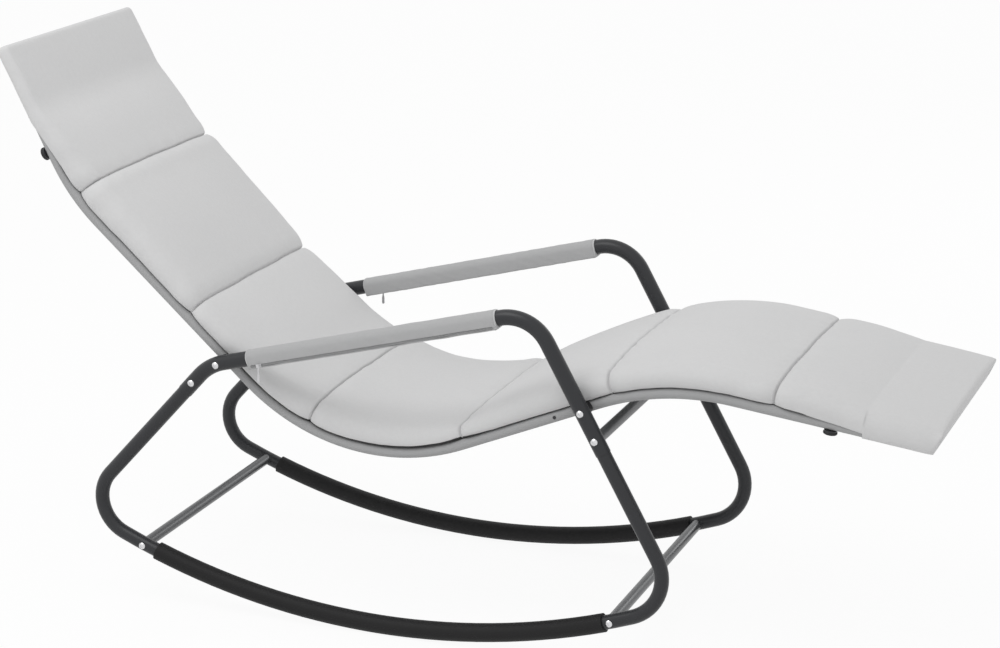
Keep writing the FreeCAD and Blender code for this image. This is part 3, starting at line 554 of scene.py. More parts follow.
@dataclass
class GridMesh:
    """A mesh of rings, one at each station."""

    name: str
    points: Array
    cap: Cap = Cap.STRIP
    metres_along: Array | None = None
    ring_slots: Sequence[int] | None = None
    materials: Sequence[Material] = ()

    def build(self) -> Object:
        """Makes the object, with its cloth map in metres and smooth shading."""
        stations, ring, _ = self.points.shape
        steps = np.linalg.norm(np.diff(self.points, axis=1, append=self.points[:, :1]), axis=2)
        around = np.concatenate([[0.0], np.cumsum(steps[int(np.argmax(steps.sum(1)))])])
        along = self.metres_along
        if along is None:
            gaps = np.linalg.norm(np.diff(self.points.mean(1), axis=0), axis=1)
            along = np.concatenate([[0.0], np.cumsum(gaps)])
        slot_of = self.ring_slots or [0] * ring
        i, j = np.divmod(np.arange((stations - 1) * ring), ring)
        here, after, k = i * ring, (i + 1) * ring, (j + 1) % ring
        faces = np.stack([here + j, here + k, after + k, after + j], 1).tolist()
        corners = np.stack([along[i], around[j], along[i], around[j + 1],
                            along[i + 1], around[j + 1], along[i + 1], around[j]], 1).ravel().tolist()
        slots = list(slot_of) * (stations - 1)
        vertices = self.points.reshape(-1, 3)
        if self.cap is Cap.FAN:
            vertices = np.vstack([vertices, self.points[0].mean(0), self.points[-1].mean(0)])
        for station in (0, stations - 1):
            for face in self._cap_faces(station, ring, stations * ring + (station > 0)):
                faces.append(face if station else face[::-1])
                corners += vertices[faces[-1], 1:].ravel().tolist()
                slots.append(slot_of[face[0] % ring])
        mesh = bpy.data.meshes.new(self.name)
        mesh.from_pydata(vertices.tolist(), [], faces)
        layer = mesh.uv_layers.new(name=CLOTH_MAP)
        layer.data.foreach_set("uv", corners)
        mesh.polygons.foreach_set("use_smooth", [True] * len(faces))
        for material in self.materials:
            mesh.materials.append(material)
        if len(self.materials) > 1:
            mesh.polygons.foreach_set("material_index", slots)
        mesh.update()
        return put(self.name, mesh)

    def _cap_faces(self, station: int, ring: int, hub: int) -> list[list[int]]:
        """The faces that close one end.

        Args:
            station: the ring that is closed.
            ring: how many points it has.
            hub: the middle point's number, where the faces fan out from one.

        Returns:
            The faces, wound as the last ring's.
        """
        first = station * ring
        if self.cap is Cap.FAN:
            return [[first + j, first + (j + 1) % ring, hub] for j in range(ring)]
        if self.cap is Cap.STRIP:
            return [[first + j, first + j + 1, first + ring - 2 - j, first + ring - 1 - j]
                    for j in range(ring // 2 - 1)]
        return []

# What repeats along a line


@dataclass(frozen=True)
class BeadSize:
    """A bead's spacing and its length, width and height."""

    pitch: float
    length: float
    width: float
    height: float


class RowTree:
    """A Geometry Nodes tree that sets small beads along a line, such as stitches or zip teeth."""

    SIZES = ("Pitch", "Length", "Width", "Height")

    def __init__(self, name: str, bead: Bead) -> None:
        """Builds the tree.

        Args:
            name: the tree's name.
            bead: the beads' shape.
        """
        self.tree = bpy.data.node_groups.new(name, "GeometryNodeTree")
        socket = self.tree.interface.new_socket
        socket(name="Line", in_out="INPUT", socket_type="NodeSocketGeometry")
        self.keys: dict[str, str] = {}
        kinds = {**dict.fromkeys(self.SIZES, "Float"), "Facing": "Vector", "Material": "Material"}
        for label, kind in kinds.items():
            self.keys[label] = socket(name=label, in_out="INPUT", socket_type="NodeSocket" + kind).identifier
        socket(name="Row", in_out="OUTPUT", socket_type="NodeSocketGeometry")
        self._wire(bead)

    def _wire(self, bead: Bead) -> None:
        """Links the tree from its line to its beads."""
        add = partial(add_node, self.tree)
        given = add("NodeGroupInput").outputs
        spaced = add("GeometryNodeResampleCurve", {"Curve": given["Line"], "Length": given["Pitch"]}, mode="LENGTH")
        tangent = add("GeometryNodeInputTangent")
        aim = add("FunctionNodeAlignRotationToVector", {"Vector": tangent.outputs[0]}, axis="X")
        face = add("FunctionNodeAlignRotationToVector", {"Rotation": aim.outputs[0], "Vector": given["Facing"]},
                   axis="Z", pivot_axis="X")
        if bead is Bead.TOOTH:
            shape = add("GeometryNodeMeshCube", {"Size": (1.0, 1.0, 1.0)})
        else:
            shape = add("GeometryNodeMeshUVSphere", {"Segments": 8, "Rings": 6, "Radius": 0.5})
        size = add("ShaderNodeCombineXYZ", {0: given["Length"], 1: given["Width"], 2: given["Height"]})
        placed = add("GeometryNodeInstanceOnPoints", {"Points": spaced.outputs[0], "Instance": shape.outputs[0],
                                                      "Rotation": face.outputs[0], "Scale": size.outputs[0]})
        real = add("GeometryNodeRealizeInstances", {0: placed.outputs[0]})
        smooth = add("GeometryNodeSetShadeSmooth", {0: real.outputs[0], "Shade Smooth": bead is Bead.STITCH})
        dressed = add("GeometryNodeSetMaterial", {0: smooth.outputs[0], "Material": given["Material"]})
        add("NodeGroupOutput", {0: dressed.outputs[0]})

    def row(self, name: str, lines: Sequence[Array], material: Material, slot: str, size: BeadSize,
            facing: Sequence[float] = (0.0, 0.0, 1.0)) -> Object:
        """Makes the beads along some lines into one mesh.

        Args:
            name: the object's name.
            lines: each line's points.
            material: the beads' finish.
            slot: the finish slot's name; not used.
            size: a bead's measures.
            facing: where the beads' Z side looks.

        Returns:
            The mesh object.
        """
        curve = bpy.data.curves.new(name + "_line", "CURVE")
        curve.dimensions = "3D"
        for line in lines:
            spline = curve.splines.new("POLY")
            spline.points.add(len(line) - 1)
            spline.points.foreach_set("co", np.hstack([line, np.ones((len(line), 1))]).ravel())
        source = put(name + "_line", curve)
        modifier = source.modifiers.new("beads", "NODES")
        modifier.node_group = self.tree
        for label in self.SIZES:
            modifier[self.keys[label]] = float(getattr(size, label.lower()))
        modifier[self.keys["Facing"]] = tuple(map(float, facing))
        modifier[self.keys["Material"]] = material
        ready = source.evaluated_get(bpy.context.evaluated_depsgraph_get())
        mesh = bpy.data.meshes.new_from_object(ready)
        mesh.name = name
        bpy.data.objects.remove(source)
        made = put(name, mesh)
        enter(made, slot)
        return made


# The cushion


@dataclass
class Cushion:
    """The panelled cushion that hooks over both ends of the seat frame."""

    path: SeatPath
    finishes: Finishes
    half_width: float = 246.0 * MM
    base: float = 10.4 * MM
    end_reach: float = 5.5 * MM
    end_round: float = 9.0 * MM
    thinnest: float = 7.0 * MM
    seam_draw: float = 8.0 * MM
    seam_roll: float = 34.0 * MM
    seam_dip: float = 4.0 * MM
    groove_depth: float = 5.5 * MM
    groove_width: float = 1.7 * MM
    lower_round: float = 10.0 * MM
    widest_at: float = 0.36
    shoulder_share: float = 0.8
    shoulder_range: Pair = (12.0 * MM, 38.0 * MM)
    crown: float = 0.16
    # How high the dark band reaches up the cushion's lower side, least and most, and from where to where along the
    # path it is highest. The band is partly the dark base cloth and partly painted shadow of the gap between cushion
    # and rails.
    base_and_shadow_band: Pair = (2.0 * MM, 6.0 * MM)
    base_and_shadow_run: Pair = (0.66, 1.29)
    hood_low: float = -10.8 * MM
    mouth: float = 26.0 * MM
    wall: float = 1.4 * MM
    head_hood: float = 143.0 * MM
    foot_hood: float = 128.0 * MM
    # A gusset's share of its rise at the hood, how far it reaches and the power of its curve.
    head_gusset: Triple = (0.0, 106.0 * MM, 1.7)
    foot_gusset: Triple = (0.5, 111.0 * MM, 1.0)
    foot_wedge: float = 34.0 * MM
    foot_taper: float = 11.0 * MM
    pad_start: float = 126.0 * MM
    # In millimetres: where the seams are, and each form's height at its start, at its end and of its bulge.
    seam_spacing: tuple[float, ...] = (298.0, 305.0, 303.0, 318.0, 302.0, 288.0)
    head_flap: Triple = (13.5, 18.0, 1.0)
    panels: tuple[Triple, ...] = (
        (18.0, 64.0, 8.0), (72.0, 50.0, 3.0), (46.0, 65.0, 2.0), (65.0, 44.0, 2.0), (40.0, 61.0, 8.0),
        (59.0, 57.0, 0.0), (57.0, 43.0, 5.0))
    foot_flap: Triple = (43.0, 37.5, 1.0)
    # The section: how its ends draw in sideways and down, how round its parts are and what eases them.
    end_draw: Pair = (0.6, 0.9)
    top_power: float = 2.6
    shoulder_power: float = 2.1
    side_power: float = 2.2
    under_flat: float = 0.75
    wall_share: float = 0.07
    hem_ease: float = 36.0 * MM
    flap_ease: float = 20.0 * MM
    unround: Pair = (0.2, 90.0 * MM)
    # How fast the dark band of base cloth and painted shadow eases in along the path, and its share of the ring's
    # lower parts.
    base_and_shadow_ease: float = 0.08
    base_and_shadow_share: float = 0.2
    # Creases: how deep they are, their shortest and longest waves and how far from a seam they reach.
    waver: float = 0.6 * MM
    fold: float = 1.4 * MM
    slack: float = 0.7 * MM
    waver_waves: Pair = (120.0 * MM, 420.0 * MM)
    waver_reach: float = 25.0 * MM
    fold_waves: Pair = (24.0 * MM, 90.0 * MM)
    fold_reach: Pair = (14.0 * MM, 4.0 * MM)
    slack_waves: Pair = (60.0 * MM, 260.0 * MM)
    # The cloth simulation and the stations along the path.
    puff_limit: float = 6.0 * MM
    puff_step: float = 11.0 * MM
    puff_at_ends: float = 0.3
    puff_ease: float = 120.0 * MM
    held: float = 2.0 * MM
    station_step: float = 6.5 * MM

    CLOTH = {"quality": 6, "mass": 0.25, "tension_stiffness": 60, "compression_stiffness": 30,
             "shear_stiffness": 6, "bending_stiffness": 0.6, "shrink_min": -0.02, "use_pressure": True,
             "uniform_pressure_force": 3.0, "pressure_factor": 1.0}
    FRAMES = 20
    BESIDE_SEAM = np.array([1.2, 2.4, 3.6, 5, 7, 9.5, 13]) * MM
    BESIDE_END = np.array([0.0, 0.3, 1.2, 2.6, 4.6, 7.2, 10.5]) * MM

    @property
    def forms(self) -> Array:
        """The height at the start, at the end and of the bulge, for each flap and panel in order."""
        return np.array([self.head_flap, *self.panels, self.foot_flap]) * MM

    @property
    def foot_line(self) -> float:
        """Where the foot hood's side walls end along the path."""
        return self.path.length - self.foot_hood

    def lines(self) -> Array:
        """Where the panels meet along the path, with the flaps at both ends."""
        seams = np.cumsum(self.seam_spacing) * MM
        return np.concatenate([[-self.end_reach, self.pad_start], seams,
                               [self.foot_line, self.path.length + self.end_reach]])

    def seams(self) -> Array:
        """Where the sewn seams are along the path."""
        return self.lines()[2:-2]

    def _crowns(self, along: Array) -> Array:
        """The crown's height over the rails' centreline, before the seams draw it down."""
        lines, forms = self.lines(), self.forms
        number = np.clip(np.searchsorted(lines, along, side="right") - 1, 0, len(forms) - 1)
        share = (along - lines[number]) / (lines[number + 1] - lines[number])
        start, end, bulge = forms[number].T
        return start + (end - start) * share + bulge * (1 - (2 * share - 1) ** 2)

    def heights(self, along: Array) -> tuple[Array, Array]:
        """The crown's height over the rails' centreline and how near a seam is.

        Args:
            along: distances along the path.

        Returns:
            The heights, and the nearness from 0 to 1 on a seam.
        """
        forms = self.forms
        top = self._crowns(along)
        eased = np.clip(1.5 - np.abs(along - self.pad_start) / (1.2 * self.flap_ease), 0, 1)
        steps = np.linspace(-self.flap_ease, self.flap_ease, 9)
        top += (np.mean([self._crowns(along + step) for step in steps], axis=0) - top) * eased
        nearness = np.zeros_like(along)
        for index, seam in enumerate(self.seams(), start=2):
            away = np.clip(1 - np.abs(along - seam) / self.seam_roll, 0, 1) ** 2.5
            meet = min(forms[index - 1][1], forms[index][0]) - self.seam_dip
            beside = np.where(along < seam, forms[index - 1][1], forms[index][0])
            top = top - (beside - meet) * away
            nearness = nearness + away
        return top, nearness

    def hooded(self, along: Array) -> Array:
        """Which stations lie inside a hood, past its mouth."""
        return (along < self.head_hood - self.mouth) | (along > self.foot_line + self.mouth)

    def hems(self, along: Array) -> Array:
        """How far the hoods' side walls reach down from the pad: 1 in the hoods, 0 past their gussets."""
        rises = []
        for past, (first, reach, power) in ((along - self.head_hood, self.head_gusset),
                                            (self.foot_line - along, self.foot_gusset)):
            share = np.clip(past / reach, 0, 1)
            rises.append(np.where(past <= 0, 0.0, first + (1 - first) * (1 - (1 - share) ** power)))
        return 1 - np.minimum(*rises)

    def section(self, along: Array, ring: Array, with_hoods: bool) -> tuple[Array, Array]:
        """The cushion's outline at each station.

        Args:
            along: the stations.
            ring: places round the outline: 0 to 1 below, 1 to 2 the left side, 2 to 3 the top, 3 to 4 the right side.
            with_hoods: whether the hoods' walls are added below the ends.

        Returns:
            The Y and the height of each point, stations by ring points.
        """
        top, nearness = self.heights(along)
        drop = self.hems(along) * with_hoods
        low = np.where(self.hooded(along) & with_hoods, self.hood_low, self.base)
        hem = self.base + (self.hood_low - self.base) * drop
        from_end = np.minimum(along, self.path.length - along) + self.end_reach
        near = np.clip(self.end_round - from_end, 0, self.end_round)
        inset = self.end_round - np.sqrt(self.end_round**2 - near**2)
        side = self.half_width - self.seam_draw * nearness - inset * self.end_draw[0]
        top = top - inset * self.end_draw[1]
        wedge = self.foot_wedge * np.clip(1 - from_end / self.foot_taper, 0, 1) ** 1.2
        lift = np.where(along > self.path.length / 2, wedge, inset * self.end_draw[0])
        low, hem = np.minimum(low + lift, top - self.thinnest), np.minimum(hem + lift, top - self.thinnest)
        edge = top - self.crown * (top - np.maximum(self.base, low))
        steps = np.linspace(-self.hem_ease, self.hem_ease, 13)
        around = np.mean([self.hems(along + step) for step in steps], axis=0) * with_hoods
        toe = np.maximum(self.base + (self.hood_low - self.base) * around + lift, hem)
        middle = toe + self.widest_at * (edge - toe)
        shoulder = np.clip(self.shoulder_share * (top - self.base), *self.shoulder_range)
        past_gussets = np.minimum(along - self.head_hood - self.head_gusset[1],
                                  self.foot_line - self.foot_gusset[1] - along)
        least, reach = self.unround
        opening = np.clip(past_gussets / reach, 0, 1)
        under = np.maximum(drop**2, least + (1 - least) * opening) * self.lower_round
        inner = side - under - self.wall
        # The dark band up the lower side, thickest along the seat and thin in the hoods: partly the dark base cloth,
        # partly painted shadow of the gap above the rails.
        first, last = self.base_and_shadow_run
        seat = np.clip(np.minimum(along - first, last - along) / self.base_and_shadow_ease, 0, 1)
        dark = (self.base_and_shadow_band[0] + (self.base_and_shadow_band[1] - self.base_and_shadow_band[0]) * seat) * np.clip(1 - 6 * drop, 0.15, 1)
        power = np.log(np.clip(dark / (middle - hem), 0.02, 0.9)) / math.log(2 * self.base_and_shadow_share)
        y = np.zeros((len(along), len(ring)))
        n = np.zeros_like(y)
        for j, place in enumerate(ring):
            part, share = int(place), place - int(place)
            if part == 0:
                flat = np.clip((2 * share - 1) / self.under_flat, -1, 1)
                y[:, j] = inner * flat - (side - under - inner) * (share == 0)
                n[:, j] = np.where(min(share, 1 - share) < self.wall_share, hem, low)
            elif part == 2:
                across = 1 - 2 * share
                y[:, j] = (side - shoulder) * across
                n[:, j] = edge + (top - edge) * (1 - abs(across) ** self.top_power)
            else:
                sign, rise = (1, share) if part == 1 else (-1, 1 - share)
                if rise < 0.5:
                    up = (2 * rise) ** power
                    out = (1 - (1 - up) ** self.side_power) ** (1 / self.side_power)
                    y[:, j], n[:, j] = sign * (side - under + under * out), hem + (middle - hem) * up
                else:
                    turn = (rise - 0.5) * math.pi
                    y[:, j] = sign * (side - shoulder + shoulder * math.cos(turn) ** (2 / self.shoulder_power))
                    n[:, j] = middle + (edge - middle) * math.sin(turn) ** (2 / self.shoulder_power)
        return y, n

    @staticmethod
    def ring(below: int, side: int, above: int) -> Array:
        """Places round the outline, with a count for each of its parts."""
        counts = (below, side, above, side)
        return np.concatenate([part + np.arange(count) / count for part, count in enumerate(counts)])

    def puff(self) -> tuple[Array, Array, Array]:
        """Inflates the closed pad as cloth, held at its seams and below, and measures how it moves.

        Returns:
            The stations, the places round the ring and how far each point moves.
        """
        along = [-self.end_reach]
        for start, end in zip(self.lines(), self.lines()[1:]):
            count = max(4, round((end - start) / self.puff_step))
            along += list(start + (end - start) * np.arange(1, count + 1) / count)
        stations = np.array(along)
        ring = self.ring(12, 8, 40)
        points = self.path.place(stations, *self.section(stations, ring, False))
        pad = GridMesh("pad_form", points, Cap.FAN).build()
        moved = self._inflated(pad, stations, ring) - points
        bpy.data.objects.remove(pad)
        far = float(np.linalg.norm(moved, axis=2).max())
        moved *= min(1.0, self.puff_limit / far)
        within = np.minimum(stations - self.head_hood, self.foot_line - stations)
        moved *= np.clip(self.puff_at_ends + within / self.puff_ease, self.puff_at_ends, 1)[:, None, None]
        log.info("the pad puffs by up to %.1f mm", far / MM)
        return stations, ring, moved

    def _inflated(self, pad: Object, stations: Array, ring: Array) -> Array:
        """Runs the cloth on the pad and returns its points."""
        held = pad.vertex_groups.new(name="held")
        seams = self.seams()
        for i, station in enumerate(stations):
            near_seam = np.min(np.abs(seams - station))
            at_end = min(station, self.path.length - station) + self.end_reach
            for j, place in enumerate(ring):
                if place < 1 or min(near_seam, at_end) < self.held:
                    held.add([i * len(ring) + j], 1.0, "REPLACE")
        cloth = pad.modifiers.new("cloth", "CLOTH")
        for key, value in self.CLOTH.items():
            setattr(cloth.settings, key, value)
        cloth.settings.vertex_group_mass = held.name
        cloth.settings.effector_weights.gravity = 0.0
        cloth.point_cache.frame_start = 1
        cloth.point_cache.frame_end = self.FRAMES
        for frame in range(1, self.FRAMES + 1):
            bpy.context.scene.frame_set(frame)
        ready = pad.evaluated_get(bpy.context.evaluated_depsgraph_get())
        found = np.zeros(len(ready.data.vertices) * 3)
        ready.data.vertices.foreach_get("co", found)
        bpy.context.scene.frame_set(1)
        count = len(stations) * len(ring)
        return found.reshape(-1, 3)[:count].reshape(len(stations), len(ring), 3)

    def fine_stations(self) -> Array:
        """Stations that are close together at the seams, the hoods' mouths and the ends."""
        first, last = -self.end_reach, self.path.length + self.end_reach
        places = np.arange(first + 14 * MM, last - 14 * MM, self.station_step)
        for seam in self.seams():
            places = places[np.abs(places - seam) > 15 * MM]
            places = np.concatenate([places, seam - self.BESIDE_SEAM, [seam], seam + self.BESIDE_SEAM])
        for step in (self.head_hood - self.mouth, self.foot_line, self.foot_line + self.mouth):
            places = places[np.abs(places - step) > 1.5 * MM]
            places = np.concatenate([places, [step - 0.15 * MM, step + 0.15 * MM]])
        return np.sort(np.concatenate([places, first + self.BESIDE_END, last - self.BESIDE_END]))

    def build(self) -> Object:
        """Makes the cushion."""
        coarse, coarse_ring, moved = self.puff()
        along = self.fine_stations()
        ring = self.ring(16, 20, 72)
        y, n = self.section(along, ring, True)
        wavy, y, n = self._creased(along, ring, y, n)
        points = self.path.place(along, y, n)
        points[..., 0] += wavy * self.path.directions(along)[:, None, 0]
        points[..., 2] += wavy * self.path.directions(along)[:, None, 1]
        rows = cubic_resample(moved, coarse, np.clip(along, coarse[0], coarse[-1]))
        wrapped = np.concatenate([rows, rows[:, :1]], 1).transpose(1, 0, 2)
        around = np.concatenate([coarse_ring, [4.0]])
        points += cubic_resample(wrapped, around, ring).transpose(1, 0, 2)
        # The dark slot: the base cloth below, and the painted shadow band up the lower sides.
        slots = [int(place < 1 + self.base_and_shadow_share or place > 4 - self.base_and_shadow_share) for place in ring]
        made = GridMesh("cushion", points, Cap.FAN, metres_along=along, ring_slots=slots,
                        materials=[self.finishes.cushion, self.finishes.base]).build()
        self._light_hoods(made, along, ring)
        enter(made, "cushion_cloth", "cushion_cover", "cushion_fillings")
        return made

    def _light_hoods(self, made: Object, along: Array, ring: Array) -> None:
        """Gives the hoods and their side walls the cushion's cloth, where the pad has its dark base and the painted
        shadow band along its lower side.
        """
        inside, wall = self.hooded(along), self.hems(along) > 0.03
        for polygon in made.data.polygons:
            row, part = divmod(polygon.index, len(ring))
            outside = ring[part] >= 1 or min(ring[part], 1 - ring[part]) < self.wall_share
            if row >= len(along) - 1 or (inside[row] and inside[row + 1]) or (wall[row] and outside):
                polygon.material_index = 0

    def _creased(self, along: Array, ring: Array, y: Array, n: Array) -> tuple[Array, Array, Array]:
        """Sinks the sewn seams, lets them waver and gathers the cloth beside them.

        Args:
            along: the stations.
            ring: the places round the outline.
            y: each point's Y.
            n: each point's height.

        Returns:
            How far each point moves along the path, and its new Y and height.
        """
        above = (ring >= 1.3) & (ring <= 3.7)
        outer = (ring > 1) & (ring < 2) | (ring > 3)
        wavy = np.zeros_like(y)
        for number, seam in enumerate(self.seams()):
            away = np.abs(along - seam)[:, None]
            groove = self.groove_depth * np.exp(-((away / self.groove_width) ** 2))
            n = n - np.where(above, groove, 0.0)
            y = y - np.where(outer, np.sign(y) * groove * 0.8, 0.0)
            near = np.exp(-((away / self.waver_reach) ** 2))
            wavy = wavy + ripple(90 + number, y, *self.waver_waves) * self.waver * near
            for flank in (-1, 1):
                beside = (np.sign(along - seam) == flank)[:, None]
                reach = np.exp(-away / self.fold_reach[0]) * (1 - np.exp(-away / self.fold_reach[1]))
                folds = ripple(40 + number * 2 + (flank > 0), y, *self.fold_waves)
                n = n + np.where(above & beside, folds * reach * self.fold, 0.0)
        slack = ripple(7, along, *self.slack_waves)[:, None] * self.slack
        y = y + np.where(outer, np.sign(y) * slack, 0.0)
        return wavy, y, n


@dataclass
class HoodMouth:
    """The hemmed mouth of a hood: the cloth of its open end, under the rails and the sling."""

    cushion: Cushion
    end: HoodEnd
    thickness: float = 1.2 * MM
    tuck: float = 2.0 * MM
    hem: float = 12.0 * MM
    depth: float = 5.0 * MM
    stitch: BeadSize = BeadSize(4 * MM, 3 * MM, 0.7 * MM, 0.7 * MM)

    def build(self, stitches: RowTree) -> Object:
        """Makes the mouth and its stitches.

        Args:
            stitches: the tree that sews.

        Returns:
            The mouth.
        """
        cushion, name = self.cushion, self.end.value
        head = self.end is HoodEnd.HEAD
        hem_line, way = (cushion.head_hood, 1.0) if head else (cushion.foot_line, -1.0)
        depth = cushion.mouth + self.tuck
        outer = self._line(hem_line - way * depth)
        stations = hem_line + way * np.linspace(-depth, 0.0, 8)
        grid = cushion.path.place(stations if head else stations[::-1], *columns(thickened(outer, self.thickness)))
        made = GridMesh(f"{name}_hood_mouth", grid, materials=[cushion.finishes.cushion]).build()
        enter(made, "cushion_cloth")
        outside = thickened(outer, self.thickness + self.stitch.height)[: len(outer)]
        line = cushion.path.place(np.array([hem_line - way * self.hem]), *columns(outside))[0]
        stitches.row(f"{name}_hood_stitches", [line], cushion.finishes.thread, "cushion_cloth", self.stitch)
        return made

    def _line(self, station: float) -> Array:
        """The middle line of the mouth's section, from one side of the pad, below the rails, to the other."""
        cushion = self.cushion
        lower = np.linspace(3.6, 3.99, 14)
        ring = np.concatenate([lower, np.linspace(0.01, 0.99, 44), 5.0 - lower[::-1]])
        y, n = cushion.section(np.array([station]), ring, True)
        line = np.stack([y[0], n[0]], 1)
        line = line[line[:, 1] < cushion.hood_low + self.depth]
        line = line[np.linalg.norm(np.diff(line, axis=0, prepend=line[:1] - MM), axis=1) > 0.05 * MM]
        return line * (1 - np.array([self.thickness / cushion.half_width, 0.0])) + np.array([0.0, self.thickness / 2])


# The sling


@dataclass
class Sling:
    """The cloth between the rails, with a sewn pocket round each."""

    path: SeatPath
    finishes: Finishes
    rail_span: float = 233.0 * MM
    pocket: float = 9.4 * MM
    thickness: float = 0.6 * MM
    sheet_height: float = 8.9 * MM
    play: float = 0.15 * MM
    lap: float = 34.0 * MM
    lap_ends: Pair = (16.0 * MM, 8.0 * MM)
    wrap_from: float = -205.0
    setback: float = 28.0 * MM
    seams: Pair = (-4.0 * MM, 6.0 * MM)
    stitch: BeadSize = BeadSize(4 * MM, 3 * MM, 0.6 * MM, 0.5 * MM)

    def _line(self) -> Array:
        """The middle line of the sling's section, from one pocket's lap to the other's."""
        centre = self.rail_span
        under = self.sheet_height - self.thickness - self.play
        meet = math.acos((self.sheet_height - self.pocket) / self.pocket + 1)
        start = np.array((centre - self.lap - self.lap_ends[0], under))
        close = np.array((centre - self.lap + self.lap_ends[1], under))
        turns = np.linspace(math.radians(self.wrap_from), math.pi / 2 + meet, 34)
        wrap = np.stack([centre + self.pocket * np.cos(turns), self.pocket * np.sin(turns)], 1)
        lower = close + (wrap[0] - close) * np.linspace(0, 1, 5)[1:-1, None]
        left = np.vstack([start, close, lower, wrap])
        inner = left[-1][0]
        flat = np.stack([np.linspace(inner, -inner, 30), np.full(30, self.sheet_height)], 1)[1:-1]
        return np.vstack([left, flat, (left * (-1, 1))[::-1]])

    def build(self, stitches: RowTree) -> Object:
        """Makes the sling and its stitches.

        Args:
            stitches: the tree that sews.

        Returns:
            The sling.
        """
        middle = self._line()
        along = np.linspace(self.setback, self.path.length - self.setback, 190)
        y, n = columns(thickened(middle, self.thickness))
        on_rail = np.abs(np.abs(y) - self.rail_span) < 11 * MM
        n = n + np.where(on_rail, 0.0, ripple(3, y + along[:, None], 0.12, 0.5) * self.play)
        points = self.path.place(along, y, n)
        made = GridMesh("sling_cloth", points[:, ::-1], metres_along=along, materials=[self.finishes.sling]).build()
        enter(made, "sling_cloth", "sling")
        low = self.sheet_height - 1.4 * self.thickness - self.play
        sewn = [(sign * (self.rail_span - self.lap - offset), low) for sign in (-1, 1) for offset in self.seams]
        lines = self.path.place(along, *columns(np.array(sewn))).transpose(1, 0, 2)
        stitches.row("sling_stitches", lines, self.finishes.thread, "sling_cloth", self.stitch)
        return made


# The armrests


